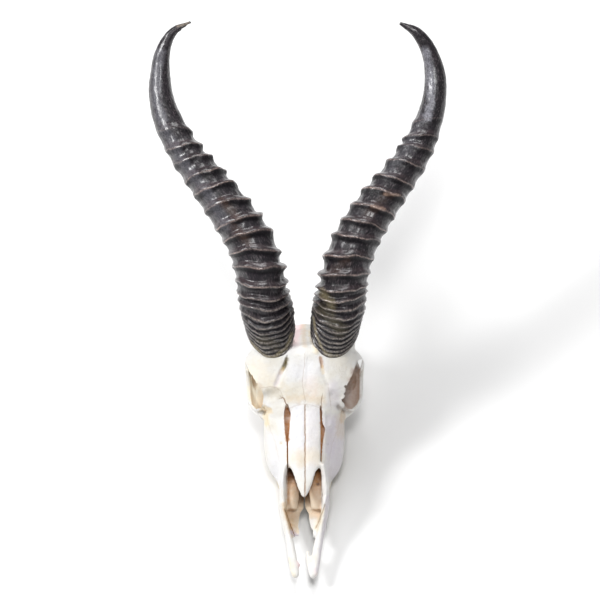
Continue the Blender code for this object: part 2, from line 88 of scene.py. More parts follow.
FOREHEAD = [
    (114, [(0, 50), (14, 49), (20, 48), (22, 52), (14, 59), (0, 61)]),
    (122, [(0, 54), (16, 53), (26, 52), (29, 56), (17, 64), (0, 65.5)]),
    (131, [(0, 60), (18, 59), (30, 60), (34, 64.5), (21, 70.5), (0, 71.5)]),
    (141, [(0, 66), (20, 64), (34, 63.5), (38.5, 68), (25, 76.5), (0, 77.5)]),
    (150, [(0, 70), (22, 66), (38, 62), (42.5, 67), (27, 80.5), (0, 83)]),
    (157, [(0, 70), (22, 64), (37.5, 59), (42.3, 66.5), (29, 79), (0, 82)]),
    (165, [(0, 64), (18, 60), (30, 58), (36.5, 66), (26, 74), (0, 75)]),
]
BRAINCASE = [
    (118, [(0, 20), (8, 21), (13, 28), (15, 42), (13, 54), (0, 58)]),
    (135, [(0, 21), (8, 22), (12, 30), (13, 44), (14, 58), (0, 66)]),
    (148, [(0, 22), (9, 23), (15, 30), (19, 45), (19, 62), (0, 76)]),
    (160, [(0, 22), (11, 23), (21, 30), (27, 46), (24, 64), (0, 76)]),
    (172, [(0, 21), (12, 22), (25, 28), (30, 46), (25, 60), (0, 68.5)]),
    (184, [(0, 21), (11, 22), (25, 28), (29, 42), (22, 54), (0, 60.5)]),
    (192, [(0, 22), (10, 24), (20, 28), (24, 38), (18, 47), (0, 53)]),
    (197, [(0, 25), (6, 26), (12, 30), (14, 36), (10, 43), (0, 47)]),
]
# Nasal bones: back, height and half width of the pair
NASALS = [(55.5, 38, 0.9), (59, 39.5, 3.2), (66, 42.2, 6.2), (74, 45.4, 9), (79, 47.4, 11.2),
          (90, 51.6, 11.6), (105, 57.4, 11.4), (118, 62.8, 10.4)]
NASAL_THICK = 3
# Palate: back and half width, then the heights of its underside and its top
PALATE = [(36.5, 10), (44, 12), (54, 14.5), (66, 15.5)]
PALATE_LEVELS = (11.8, 15.6)
# Bars of bone: back, side, low, high, half width
PREMAXILLA = [(1.5, 6.2, 11, 14, 1.6), (5, 6.6, 10, 15, 3.2), (14, 8, 10, 16, 3.5), (24, 9.4, 10.5, 18, 3.4),
              (36, 11.4, 11, 21, 3.1), (48, 13.8, 12, 27, 2.7), (60, 15.4, 15, 34, 2.5),
              (70, 15.4, 24, 41, 2.4), (79, 13.4, 37, 47.5, 1.8)]
MAXILLA_EDGE = [(38, 10.5, 11, 15, 1.8), (48, 13.2, 10, 18, 2.5), (58, 15, 9.5, 22, 3),
                (66, 15.5, 9.5, 26, 3)]
PTERYGOID = [(119, 11, 10, 20, 1.6), (128, 11.5, 8, 24, 1.6), (138, 12, 10, 26, 1.6), (145, 12, 17, 28, 1.5)]
# Round rods of bone: side, back, height, radius
PREMAXILLA_SPUR = [(5, 5.5, 12.6, 1.9), (3.4, 12, 12.6, 1.8), (2.6, 19, 12.6, 1.6), (2.6, 25.5, 12.6, 1.1)]
PREMAXILLA_NUB = [(-7, 12.5, 12.6, 2.4), (-4.6, 13, 12.6, 2.2), (-2.8, 13.5, 12.6, 1.6)]
CHEEK_ARCH = [(23.5, 126, 34, 5), (31.5, 132, 36, 4.4), (37, 138, 37.5, 4.2), (39, 147, 38.5, 4),
              (38.6, 158, 40, 4), (35.5, 169, 41.5, 3.8), (29, 180, 42, 4.5)]
ORBIT_RIM = [(33.2, 133, 65.5, 2.2), (37.6, 141, 68, 2.2), (41, 151, 66, 2.4), (41, 156.5, 57, 2.6),
             (40.2, 154.5, 46, 2.6), (39.9, 143, 41, 2.4), (37.6, 134, 40.5, 2.2), (34.3, 128, 43, 2.2),
             (31, 126, 50, 2.3), (30.8, 127, 58, 2.3)]
NUCHAL_CREST = [(-26, 183, 37, 2.5), (-21, 189.5, 44, 2.8), (-11, 194, 48, 2.8), (0, 195, 49.5, 3),
                (11, 194, 48, 2.8), (21, 189.5, 44, 2.8), (26, 183, 37, 2.5)]
REAR_SPUR = [(22, 186, 32, 5), (23, 187, 20, 3.8), (23, 187, 9, 2.8), (22.5, 186.5, 0.3, 2.2)]
PEDICLE = [(21, 157, 58, 13), (22, 163, 70, 14.5), (23, 172, 86, 15)]
# Balls of bone: middle and radii
CONDYLE = ((8.5, 199, 26), (6, 6.5, 6))
EAR_BULLA = ((14.5, 171, 17), (8, 11, 8))
SOCKET_FLOOR = ((28, 140, 36), (10, 14, 6.5))
JAW_SEAT = ((28, 166.5, 37), (11.5, 15, 6.5))
SOCKET_BRIDGE = ((32, 152.5, 36), (7.5, 9, 6))
# Hollows
ORBIT = ((40, 139, 54), (24, 14.5, 13))
FORAMEN_MAGNUM = [(0, 184, 34, 6), (0, 192, 33, 7), (0, 206, 32, 7.5)]
NOSE_CAVITY = [
    (48, [(0, 18), (7, 18), (10.5, 22), (11, 28), (8, 33), (0, 34)]),
    (58, [(0, 18), (9, 18), (12.8, 23), (12.8, 29), (9, 32.5), (0, 33)]),
    (68, [(0, 18), (10, 18), (13, 24), (13, 33), (10, 38.2), (0, 38.6)]),
    (75, [(0, 18), (10.5, 18), (13.5, 24), (13, 36), (10.5, 41.5), (0, 42.2)]),
    (82, [(0, 18), (11, 18), (14.5, 24), (13, 38), (10.5, 43.5), (0, 44.8)]),
    (95, [(0, 19), (12, 19), (16, 26), (14, 40), (10.5, 47.5), (0, 49.8)]),
    (108, [(0, 21), (12, 21), (16, 28), (14, 42), (10.5, 51), (0, 53.5)]),
    (113, [(0, 26), (8, 27), (11, 32), (10, 42), (8, 49), (0, 51)]),
]
# Scrolls and wall inside the nose
NOSE_SCROLL = [(8.6, 56, 20, 3.6), (8.6, 63, 25, 4.6), (8.4, 70, 29, 4.8), (8, 76, 30.5, 4.2),
               (8, 85, 31, 4), (7.4, 98, 34, 5), (6.5, 112, 37, 5)]
VOMER = [(60, 0.2, 14, 18, 0.9), (75, 0.2, 14, 25, 0.9), (95, 0.2, 15, 33, 0.9), (112, 0.2, 16, 40, 0.9)]
# Slits beside the nasal bones, from the rear: back, side, half width
LEFT_SLIT = [(118, 11.7, 0.6), (114, 12, 0.9), (108, 12.2, 0.7), (104, 13.4, 1.7), (97, 12.6, 0.9),
             (88, 12.2, 0.5), (81, 12, 0.4)]
RIGHT_SLIT = [(119, -12.6, 0.8), (114, -12.2, 2.4), (107, -12.4, 2), (101, -12.3, 1.5), (94, -12.2, 0.6),
              (86, -12.1, 0.5), (76, -12, 0.5)]
NASAL_SUTURE = [(118.5, 0.4, 0.12), (108, 0.5, 0.15), (95, 0.6, 0.2), (80, 0.6, 0.25), (66, 0.5, 0.3),
                (54, 0.3, 0.9)]
SLIT_DEEP, SUTURE_DEEP, SLIT_TOP = 6.5, 0.7, 78
# Pit over each eye: side, back, height, radius
LEFT_PIT = [(11.6, 148.5, 82.4, 0.7), (12, 145.5, 80.2, 1.1), (12.6, 142, 78.2, 1.2),
            (13.4, 138.5, 77.2, 0.7)]
RIGHT_PIT = [(-12, 148.5, 82.4, 0.9), (-12.8, 145.5, 80, 1.6), (-13.9, 142, 77.8, 1.8),
             (-15, 138.5, 76.6, 1.4), (-16.2, 135.5, 76.2, 0.7)]
# Cuts along the line of sight: side and rise of the outline, and the depths between which they run
BROKEN_EDGE = [(42.2, 165.6), (39.4, 165.2), (37.9, 163), (36.6, 160), (35.8, 157.4), (34.4, 153.6),
               (33.2, 152.4), (32.9, 150.3), (31.4, 148.4), (30.7, 146.6), (29.6, 147.2), (28.6, 145.9),
               (29.9, 144.4), (29.7, 142.3), (28.4, 140.6), (29.4, 139.2), (28.6, 137.6), (26.8, 136.5),
               (27.4, 135), (28.9, 133.6), (29.3, 131.5), (31.6, 129.6), (34.3, 129.3), (38, 132.9),
               (39.9, 136.5), (40.2, 150), (39.9, 156), (41.2, 161)]
WHOLE_EDGE = [(-43.1, 164.2), (-41, 160.6), (-40.2, 157.4), (-38.4, 154.5), (-37.4, 154.2), (-36.6, 151.8),
              (-35.5, 150.6), (-34.8, 148.6), (-33.6, 148.4), (-32.9, 146), (-31.4, 144.9), (-30.5, 142.3),
              (-29.4, 139.4), (-29.7, 136.5), (-30.2, 132.6), (-31.2, 130.4), (-34.8, 129.4), (-38, 132.9),
              (-39.1, 140.1), (-39.2, 150.9), (-41.2, 159.5)]
SOCKET_CUT = (-50, -12)
PALATE_GAP = [(0.5, 66), (0.7, 58.7), (1.9, 56.6), (3.4, 53.7), (3.7, 49.4), (4.8, 44.4), (6.4, 42.5),
              (6.4, 34), (-6.6, 34), (-6.6, 38.4), (-4.2, 38.4), (-3.6, 41), (-4.5, 45.1), (-3.8, 50.1),
              (-3.1, 54.4), (-0.6, 58.2), (-0.4, 66)]
PALATE_CUT = (-42, -4)
# How finely curves are followed along a piece and round an outline, and round a bar or rod
SPAN_STEPS, OUTLINE_STEPS, ROUND_SIDES = 5, 4, 18


def smooth_path(points, steps):
    """Catmull-Rom curve through the points, with this many pieces in each span."""
    p = np.array(points, float)
    ends = np.vstack([2 * p[0] - p[1], p, 2 * p[-1] - p[-2]])
    out = []
    for i in range(len(p) - 1):
        a, b, c, d = ends[i:i + 4]
        for k in range(steps):
            t = k / steps
            out.append(0.5 * (2 * b + (c - a) * t + (2 * a - 5 * b + 4 * c - d) * t ** 2
                              + (3 * b - a - 3 * c + d) * t ** 3))
    out.append(p[-1])
    return np.array(out)


def circle(sides):
    turns = [2 * math.pi * i / sides for i in range(sides)]
    return [(math.cos(turn), math.sin(turn)) for turn in turns]


def keep(piece, name, values):
    """Keep a value, a vector or a colour for each vertex as an attribute that a material can read."""
    kinds = {1: ("FLOAT", "value"), 3: ("FLOAT_VECTOR", "vector"), 4: ("FLOAT_COLOR", "color")}
    kind, slot = kinds[values.shape[1] if values.ndim == 2 else 1]
    piece.data.attributes.new(name, kind, "POINT").data.foreach_set(slot, values.ravel())


def roll(name, rings, marks=None):
    """A flat grid rolled into a tube through the rings, its seam merged and its ends closed.

    Marks are values at each point of the rings, which the tube keeps as attributes."""
    rings = np.array([[tuple(p) for p in ring] for ring in rings], float)
    columns, rows = rings.shape[1], rings.shape[0] - 1
    bpy.ops.mesh.primitive_grid_add(x_subdivisions=columns, y_subdivisions=rows)
    tube = bpy.context.object
    tube.name = name
    spots = np.concatenate([rings, rings[:, :1]], axis=1).reshape(-1, 3) + np.array(SNOUT_TIP)
    tube.data.vertices.foreach_set("co", (spots * MM).ravel())
    for word, values in (marks or {}).items():
        values = np.array(values, float)
        values = np.concatenate([values, values[:, :1]], axis=1)
        keep(tube, word, values.reshape(-1, *values.shape[2:]))
    bpy.ops.object.mode_set(mode="EDIT")
    bpy.ops.mesh.select_all(action="SELECT")
    bpy.ops.mesh.remove_doubles(threshold=0.00002)
    bpy.ops.mesh.select_all(action="DESELECT")
    bpy.ops.mesh.select_non_manifold()
    bpy.ops.mesh.fill_holes(sides=0)
    bpy.ops.mesh.select_all(action="SELECT")
    bpy.ops.mesh.normals_make_consistent(inside=False)
    bpy.ops.object.mode_set(mode="OBJECT")
    tube.select_set(False)
    return tube


def trunk(name, stations):
    """Tube along the skull. A station is its distance back and its right half outline, bottom to top."""
    flat = [[back] + [v for point in half for v in point] for back, half in stations]
    rings = []
    for row in smooth_path(flat, SPAN_STEPS):
        half = smooth_path(row[1:].reshape(-1, 2), OUTLINE_STEPS)
        left = [(-x, z) for x, z in half[-2:0:-1]]
        rings.append([(x, row[0], z) for x, z in [tuple(p) for p in half] + left])
    return roll(name, rings)


def bar(name, stations, side=1):
    """Rounded bar along the skull: back, side, low, high and half width at each station."""
    rings = []
    for back, across, low, high, half in smooth_path(stations, SPAN_STEPS):
        middle, tall = (low + high) / 2, (high - low) / 2
        rings.append([(side * (across + half * c), back, middle + tall * s) for c, s in circle(ROUND_SIDES)])
    return roll(name, rings)


def rod(name, stations, side=1, closed=False):
    """Round rod through side, back, height and radius."""
    path = smooth_path(stations, SPAN_STEPS)
    if closed:
        path = smooth_path(stations[-2:] + stations + stations[:3], SPAN_STEPS)[2 * SPAN_STEPS:-SPAN_STEPS]
    centres = [Vector((side * p[0], p[1], p[2])) for p in path]
    rings = []
    across = None
    for i, centre in enumerate(centres):
        ahead = centres[min(i + 1, len(centres) - 1)] - centres[max(i - 1, 0)]
        across = ahead.orthogonal() if across is None else across
        across = (across - across.project(ahead)).normalized()
        other = ahead.cross(across).normalized()
        rings.append([centre + float(path[i][3]) * (c * across + s * other) for c, s in circle(ROUND_SIDES)])
    return roll(name, rings)


def ball(name, middle, radii, side=1):
    bpy.ops.mesh.primitive_uv_sphere_add(segments=32, ring_count=20)
    round_bone = bpy.context.object
    round_bone.name = name
    bpy.ops.object.mode_set(mode="EDIT")
    bpy.ops.transform.resize(value=[r * MM for r in radii])
    bpy.ops.transform.translate(value=(Vector((side * middle[0], *middle[1:])) + SNOUT_TIP) * MM)
    bpy.ops.object.mode_set(mode="OBJECT")
    round_bone.select_set(False)
    return round_bone


def slit(name, stations, reach):
    """Thin upright blade that cuts this deep into the roof of the nose."""
    rings = []
    roof = np.array(NASALS)
    for back, across, half in smooth_path(stations, OUTLINE_STEPS):
        low = float(np.interp(back, roof[:, 0], roof[:, 1])) - reach
        corners = ((-half, low), (half, low), (half, SLIT_TOP), (-half, SLIT_TOP))
        rings.append([(across + dx, back, z) for dx, z in corners])
    return roll(name, rings)


def sight_prism(name, outline, depths):
    return roll(name, [[from_face_view(side, rise, depth) for side, rise in outline] for depth in depths])


def nasal_section(height, half):
    under = height - NASAL_THICK
    return [(0, under), (half * 0.6, under - 0.3), (half, under + 0.2), (half, height - 1.5),
            (half * 0.6, height - 0.3), (0, height)]


def palate_section(half):
    low, high = PALATE_LEVELS
    edge = half - 1
    return [(0, low), (half * 0.6, low), (edge, low), (half, (low + high) / 2), (edge, high), (0, high)]


def join(things):
    bpy.ops.object.select_all(action="DESELECT")
    for thing in things:
        thing.select_set(True)
    bpy.context.view_layer.objects.active = things[0]
    bpy.ops.object.join()
    joined = bpy.context.object
    joined.select_set(False)
    return joined


def apply_modifier(piece, kind, **settings):
    modifier = piece.modifiers.new(kind.lower(), kind)
    for key, value in settings.items():
        setattr(modifier, key, value)
    bpy.context.view_layer.objects.active = piece
    bpy.ops.object.modifier_apply(modifier=modifier.name)


def carve(piece, cutters):
    """Cut each of these shapes out of the piece."""
    for cutter in cutters:
        apply_modifier(piece, "BOOLEAN", operation="DIFFERENCE", solver="MANIFOLD", object=cutter)
        bpy.data.objects.remove(cutter)


def fuse(piece, rounds):
    """Make one closed skin of parts that overlap, and smooth it this many times."""
    apply_modifier(piece, "REMESH", mode="VOXEL", voxel_size=BONE_VOXEL * MM)
    apply_modifier(piece, "SMOOTH", factor=0.5, iterations=rounds)


bone_parts = [
    trunk("skull_bone", FACE),
    trunk("forehead", FOREHEAD),
    trunk("braincase", BRAINCASE),
    trunk("nasals", [(back, nasal_section(height, half)) for back, height, half in NASALS]),
    trunk("palate", [(back, palate_section(half)) for back, half in PALATE]),
    rod("nuchal_crest", NUCHAL_CREST),
    rod("premaxilla_spur", PREMAXILLA_SPUR),
    rod("premaxilla_nub", PREMAXILLA_NUB),
]
for side in (1, -1):
    bone_parts += [
        bar("premaxilla", PREMAXILLA, side),
        bar("maxilla_edge", MAXILLA_EDGE, side),
        bar("pterygoid", PTERYGOID, side),
        rod("cheek_arch", CHEEK_ARCH, side),
        rod("orbit_rim", ORBIT_RIM, side, closed=True),
        rod("rear_spur", REAR_SPUR, side),
        rod("pedicle", PEDICLE, side),
    ]
    for place in (CONDYLE, EAR_BULLA, SOCKET_FLOOR, JAW_SEAT, SOCKET_BRIDGE):
        bone_parts.append(ball("round_bone", *place, side))
skull = join(bone_parts)
fuse(skull, 6)
carve(skull, [
    trunk("nose_cavity", NOSE_CAVITY),
    rod("foramen_magnum", FORAMEN_MAGNUM),
    ball("left_orbit", *ORBIT, 1),
    ball("right_orbit", *ORBIT, -1),
])
scrolls = [rod("nose_scroll", NOSE_SCROLL, side) for side in (1, -1)]
skull = join([skull, bar("vomer", VOMER)] + scrolls)
fuse(skull, 3)


def rows_of(source, what):
    table = np.empty(len(source) * 3)
    source.foreach_get(what, table)
    return table.reshape(-1, 3)


def places_of(piece):
    """Place of every vertex in millimetres."""
    return rows_of(piece.data.vertices, "co") / MM


def normals_of(piece):
    return rows_of(piece.data.vertex_normals, "vector")


def face_view(piece):
    """Side, rise and depth of every vertex, as three columns."""
    at = places_of(piece) - np.array(SNOUT_TIP)
    up, out = math.sin(FACE_VIEW), math.cos(FACE_VIEW)
    return np.column_stack([at[:, 0], at[:, 1] * up + at[:, 2] * out, at[:, 2] * up - at[:, 1] * out])


def facing_viewer(piece):
    return normals_of(piece) @ np.array(from_face_view(0, 0, 1))


def move_out(piece, distance):
    """Move every vertex this far along its normal."""
    moved = places_of(piece) + normals_of(piece) * distance[:, None]
    piece.data.vertices.foreach_set("co", (moved * MM).ravel())
    piece.data.update()


def uneven(places, layers):
    """Unevenness at each place, from the size and the height of each layer."""
    return np.array([
        sum(noise.noise(Vector(at) / size) * height for size, height in layers) for at in places
    ])


def along_stroke(seen, points):
    """Distance to a line of side and rise points, and the side of it that each vertex lies on."""
    path = np.array(points, float)
    if len(path) == 1:
        path = np.vstack([path, path + 0.01])
    nearest = np.full(len(seen), 1e3)
    sign = np.ones(len(seen))
    for a, b in zip(path, path[1:]):
        share = np.clip(((seen[:, :2] - a) @ (b - a)) / ((b - a) @ (b - a)), 0, 1)
        off = seen[:, :2] - a - share[:, None] * (b - a)
        gap = np.linalg.norm(off, axis=1)
        closer = gap < nearest
        nearest = np.where(closer, gap, nearest)
        sign = np.where(closer, np.sign((b - a)[0] * off[:, 1] - (b - a)[1] * off[:, 0] + 1e-9), sign)
    return nearest, sign


def soft(share):
    share = np.clip(share, 0, 1)
    return share * share * (3 - 2 * share)


def press(piece, strokes):
    """Push the surface in along strokes: depth, radius, then side and rise of each point."""
    seen, front = face_view(piece), soft(facing_viewer(piece) * 3)
    push = np.zeros(len(seen))
    for depth, radius, *points in strokes:
        nearest, _ = along_stroke(seen, points)
        push += depth * soft(1 - nearest / radius) * front
    move_out(piece, -push)


def shade_smooth(piece, sharp):
    """Shade the piece smooth, but for edges sharper than this many degrees."""
    bpy.context.view_layer.objects.active = piece
    piece.select_set(True)
    bpy.ops.object.shade_smooth_by_angle(angle=math.radians(sharp))
    piece.select_set(False)


# Low swells and dents of the bone: size and height of each layer
BONE_SWELLS = [(14, 0.5), (5, 0.22), (2.4, 0.1)]
# Hollows and ridges of the face: depth, radius, then side and rise of each point
FACE_RELIEF = [
    (1, 2.6, (-15.3, 158.8), (-20.4, 147.3)),
    (0.8, 2.6, (12.6, 158.8), (17, 147.3)),
    (1.5, 5.5, (-22.5, 141), (-27, 139)),
    (1.2, 4.5, (21, 140), (25, 138)),
    (1.8, 2.8, (-29.5, 130.2), (-25.2, 128.4)),
    (1.8, 2.6, (24.6, 131.6), (26.8, 128.8)),
    (-1.2, 3, (4.8, 181), (9, 171.5)),
    (-0.7, 9, (-8.5, 160), (-7, 151)),
    (-0.7, 9, (9, 158), (8, 150)),
    (-0.35, 1.4, (0.9, 170), (0.4, 154.5), (0.2, 147)),
    (0.8, 4, (-23.3, 115), (-20.4, 86), (-15.5, 64.5)),
    (0.8, 4, (20.7, 115), (18.5, 89.7), (14.8, 68)),
    (-0.5, 1.4, (-14.6, 133), (-15, 110), (-14, 92)),
    (-0.5, 1.4, (14.6, 128), (15, 110), (14.2, 92)),
    (1.2, 1.3, (-17, 105)),
    (1.2, 1.3, (17.6, 104)),
    (0.6, 1.3, (-13.5, 56.6), (-7.4, 39.3)),
    (0.5, 1.2, (14.9, 60.9), (10.6, 48.7), (8.4, 44.3)),
    (0.35, 2.6, (0.6, 128), (0.6, 90)),
]
move_out(skull, uneven(places_of(skull), BONE_SWELLS))
press(skull, FACE_RELIEF)
carve(skull, [
    slit("left_slit", LEFT_SLIT, SLIT_DEEP),
    slit("right_slit", RIGHT_SLIT, SLIT_DEEP),
    slit("nasal_suture", NASAL_SUTURE, SUTURE_DEEP),
    rod("left_pit", LEFT_PIT),
    rod("right_pit", RIGHT_PIT),
    sight_prism("broken_edge", BROKEN_EDGE, SOCKET_CUT),
    sight_prism("whole_edge", WHOLE_EDGE, SOCKET_CUT),
    sight_prism("palate_gap", PALATE_GAP, PALATE_CUT),
])
shade_smooth(skull, 45)

# Rays that tell how far a vertex lies in a recess: their number, start, reach and least lean
RECESS_RAYS, RAY_START, RAY_REACH, RAY_LEAN = 18, 0.4, 28, 0.15


def recess_share(piece):
    """How much of what lies in front of each vertex is hidden by the piece itself, from 0 to 1."""
    directions = []
    for i in range(RECESS_RAYS):
        height = 1 - (2 * i + 1) / RECESS_RAYS
        turn = i * math.pi * (3 - math.sqrt(5))
        flat = math.sqrt(1 - height * height)
        directions.append(Vector((flat * math.cos(turn), flat * math.sin(turn), height)))
    tree = bvhtree.BVHTree.FromObject(piece, bpy.context.evaluated_depsgraph_get())
    share = []
    for spot, normal in zip(rows_of(piece.data.vertices, "co"), normals_of(piece)):
        normal = Vector(normal)
        start = Vector(spot) + normal * RAY_START * MM
        seen = hidden = 0
        for direction in directions:
            lean = direction.dot(normal)
            if lean > RAY_LEAN:
                seen += lean
                if tree.ray_cast(start, direction, RAY_REACH * MM)[0] is not None:
                    hidden += lean
        share.append(hidden / seen)
    return np.array(share)


def lay(tint, colour, share):
    """Lay a colour over a tint of red, green, blue and strength, with its own share at each vertex."""
    strength = share + tint[:, 3] * (1 - share)
    part = (share / np.maximum(strength, 1e-6))[:, None]
    tint[:, :3] = np.array(colour) * part + tint[:, :3] * (1 - part)
    tint[:, 3] = strength


# Unevenness of a stain's edge: size and height of each layer, its share of the radius and its limit
STAIN_EDGE, EDGE_SHARE, EDGE_MOST = [(3.5, 1), (1.3, 0.5)], 0.35, 2.2


def lay_strokes(tint, piece, strokes, gate=1):
    """Lay colours on what faces the viewer: colour, strength, radius, then side and rise of each point."""
    seen, front = face_view(piece), soft(facing_viewer(piece) * 4 + 0.5)
    edge = uneven(places_of(piece), STAIN_EDGE)
    for colour, strength, radius, *points in strokes:
        nearest, _ = along_stroke(seen, points)
        nearest = nearest + edge * min(EDGE_MOST, EDGE_SHARE * radius)
        lay(tint, colour, strength * soft(1.2 * (1 - nearest / radius)) * front * gate)


# Distance beyond which no suture is looked for, and over which one fades at its ends
SEAM_FAR, SEAM_FADE = 9, 2.6


def seam_lines(piece, lines):
    """Signed distance to the nearest suture and how strong it is there, for fine brown lines."""
    seen, front = face_view(piece), soft(facing_viewer(piece) * 4)
    nearest, seam, near = np.full(len(seen), SEAM_FAR), np.full(len(seen), SEAM_FAR), np.zeros(len(seen))
    for strength, *points in lines:
        gap, sign = along_stroke(seen, points)
        closer = gap < nearest
        nearest = np.where(closer, gap, nearest)
        seam = np.where(closer, gap * sign, seam)
        near = np.where(closer, strength * soft(SEAM_FADE - gap) * front, near)
    keep(piece, "seam", np.clip(seam, -SEAM_FAR, SEAM_FAR))
    keep(piece, "seam_near", near)


# Stains left in the bone when it was cleaned, and painted shade: colour, strength, radius, then side and
# rise of each point
CREAM, BUFF, SAND = (0.86, 0.72, 0.46), (0.74, 0.58, 0.34), (0.66, 0.47, 0.26)
RUST, UMBER, MOSS = (0.42, 0.19, 0.06), (0.13, 0.065, 0.035), (0.17, 0.13, 0.05)
# Lilac shade is painted shade with a faint lilac tinge of its own: it darkens the animal's left cheek and
# snout, which face away from the lamp, the slope behind the forehead ridge and the edges of a groove and a
# gap.
ROSE, LILAC_SHADE, PEARL = (0.93, 0.7, 0.72), (0.66, 0.6, 0.7), (0.86, 0.86, 0.91)
AMBER, HONEY, TAUPE_SHADE = (0.46, 0.21, 0.07), (0.66, 0.41, 0.24), (0.54, 0.42, 0.36)
IVORY = (0.97, 0.9, 0.74)
FACE_STAINS_AND_SHADE = [
    (PEARL, 0.8, 9, (-5, 128), (-5, 100)),
    (LILAC_SHADE, 0.26, 8, (6, 128), (6, 92)),
    (CREAM, 0.32, 9, (-8, 96), (8, 95)),
    (SAND, 0.2, 5, (-3.5, 97), (-2, 90)),
    (LILAC_SHADE, 0.5, 11, (24, 118), (22, 84)),
    (LILAC_SHADE, 0.35, 7, (18, 122), (18, 100)),
    (CREAM, 0.12, 9, (-27, 118), (-24.5, 100)),
    (PEARL, 0.45, 9, (-24, 108), (-19, 78)),
    (BUFF, 0.25, 6, (26.5, 122), (26.5, 112)),
    (SAND, 0.34, 5, (-12, 137.2), (-4, 136.8), (0, 138.2), (6, 136.8), (13, 135.6)),
    (MOSS, 0.08, 8, (-10, 141), (10, 141)),
    (CREAM, 0.25, 10, (-10, 142), (10, 142)),
    (ROSE, 0.18, 9, (4, 150), (6, 143)),
    (CREAM, 0.26, 12, (-34, 160), (-28, 150), (-20, 147)),
    (CREAM, 0.15, 10, (24, 166), (30, 156)),
    (LILAC_SHADE, 0.34, 7, (20.5, 146), (21.5, 134)),
    (PEARL, 0.5, 10, (-8, 158), (10, 160)),
    (MOSS, 0.24, 6, (-26, 141.5), (-20.5, 141.5)),
    (UMBER, 0.1, 1.6, (-28, 144.5), (-24, 145.6), (-17.5, 144.2)),
    (BUFF, 0.7, 3.6, (-29.5, 130.2), (-25.4, 128.6)),
    (CREAM, 0.7, 3.2, (-28, 126), (-27, 119)),
    (UMBER, 0.5, 2.2, (24.6, 131.6), (26.8, 129.4)),
    (SAND, 0.45, 3.2, (27.4, 127), (27.8, 121)),
    (MOSS, 0.95, 2.5, (-12.6, 165.4), (-14.2, 161.5), (-15.4, 158.6)),
    (BUFF, 0.8, 2.2, (-15.6, 159), (-16.8, 156)),
    (LILAC_SHADE, 0.4, 3, (-17, 156), (-20.6, 147.5)),
    (RUST, 0.65, 1.9, (11.6, 167), (12.9, 160.5)),
    (BUFF, 0.55, 2, (12.8, 160.5), (13.4, 156)),
    (ROSE, 0.75, 7, (-8, 178.5), (-5, 190)),
    (LILAC_SHADE, 0.18, 5, (-14.5, 171.5), (-8, 173.5)),
    (SAND, 0.4, 3.2, (-0.6, 190), (0, 176.5)),
    (CREAM, 0.55, 3.4, (4.8, 185), (8.8, 171.5)),
    (SAND, 0.3, 3, (-33, 147.5), (-31, 144.5)),
    (RUST, 0.8, 1.7, (-14.2, 57.4), (-11, 48.5), (-8.2, 41.2)),
    (SAND, 0.6, 4, (-14.2, 60), (-10.5, 48), (-7.4, 39.5)),
    (SAND, 0.62, 5.5, (-9, 63), (-6.4, 50), (-5.4, 42)),
    (LILAC_SHADE, 0.8, 2.6, (-8.6, 41.5), (-6.6, 39.2), (-5, 38.4)),
    (MOSS, 0.4, 1.5, (14.9, 60.9), (10.6, 48.7), (8.4, 44.3)),
    (CREAM, 0.4, 4, (12.6, 56), (9.4, 44)),
    (ROSE, 0.65, 2.6, (-4, 20), (-3, 15.5)),
    (CREAM, 0.35, 3, (-10.8, 22), (-8, 10)),
    (ROSE, 0.35, 2.4, (6.2, 17), (8.4, 11)),
    (BUFF, 0.4, 1.6, (-17, 105)),
    (LILAC_SHADE, 0.45, 2.6, (17, 66), (13.6, 35), (9.6, 14)),
]
# Colour down inside the slits and sockets: as above. The taupe in the socket on the animal's left is painted
# shade: that side faces away from the lamp, where the other socket is ivory.
DEEP_STAINS_AND_SHADE = [
    (AMBER, 1, 5.5, (-11.8, 131), (-12, 112), (-12, 92)),
    (AMBER, 1, 4, (12.6, 131), (12.8, 112), (12, 92)),
    (HONEY, 0.8, 2, (0.5, 133), (0.5, 62)),
    (IVORY, 1, 9, (-41, 160), (-36.5, 145), (-36, 133)),
    (TAUPE_SHADE, 1, 9.5, (38, 160), (35, 150), (34.5, 134)),
]
# Colour of what is seen inside the sockets, wherever it lies. The taupe and the umber in the socket on the
# animal's left are painted shade.
SOCKET_STAINS_AND_SHADE = [
    (IVORY, 1, 5, (-38.8, 157), (-36.6, 147), (-35.4, 134)),
    (TAUPE_SHADE, 1, 5.5, (38, 157), (36.4, 149), (35, 136)),
    (TAUPE_SHADE, 1, 4.5, (34, 147), (33, 142)),
    (UMBER, 0.45, 3.6, (39.6, 163), (38.6, 157)),
    (AMBER, 1, 2.6, (-12.1, 126), (-12.2, 108)),
    (AMBER, 0.8, 1.6, (12.2, 120), (13.2, 112), (12.4, 104)),
]
# Colour inside the nose: as above. The umber at the top of the opening, under the nasal roof, is partly
# painted shade.
NOSE_STAINS_AND_SHADE = [
    (HONEY, 0.95, 30, (0, 75), (0, 60)),
    (IVORY, 0.62, 20, (0, 58), (0, 46)),
    (AMBER, 0.6, 7, (-10.6, 88), (-9.2, 81)),
    (AMBER, 0.65, 6.5, (10.4, 88), (9.6, 79)),
    (UMBER, 0.75, 7.5, (-10.6, 87.5), (-8.6, 83)),
    (RUST, 0.45, 3.4, (9, 86), (8, 81)),
    (RUST, 0.7, 2.2, (-12.2, 78), (-12.2, 62)),
    (UMBER, 0.9, 1.5, (9.8, 75.6)),
    (MOSS, 0.22, 4, (-8, 72), (-6.5, 64)),
]
# The inside of the nose: its half width, front, rear and floor, each with the width of its soft edge,
# and the height of its roof at distances back
NOSE_HALF, NOSE_FRONT, NOSE_REAR, NOSE_FLOOR = (12.9, 1.2), (49, 5), (90, 4), (14.8, 1.2)
NOSE_ROOF = ((50, 55.5, 66, 79, 90), (31, 34, 38.4, 43.6, 47.6))
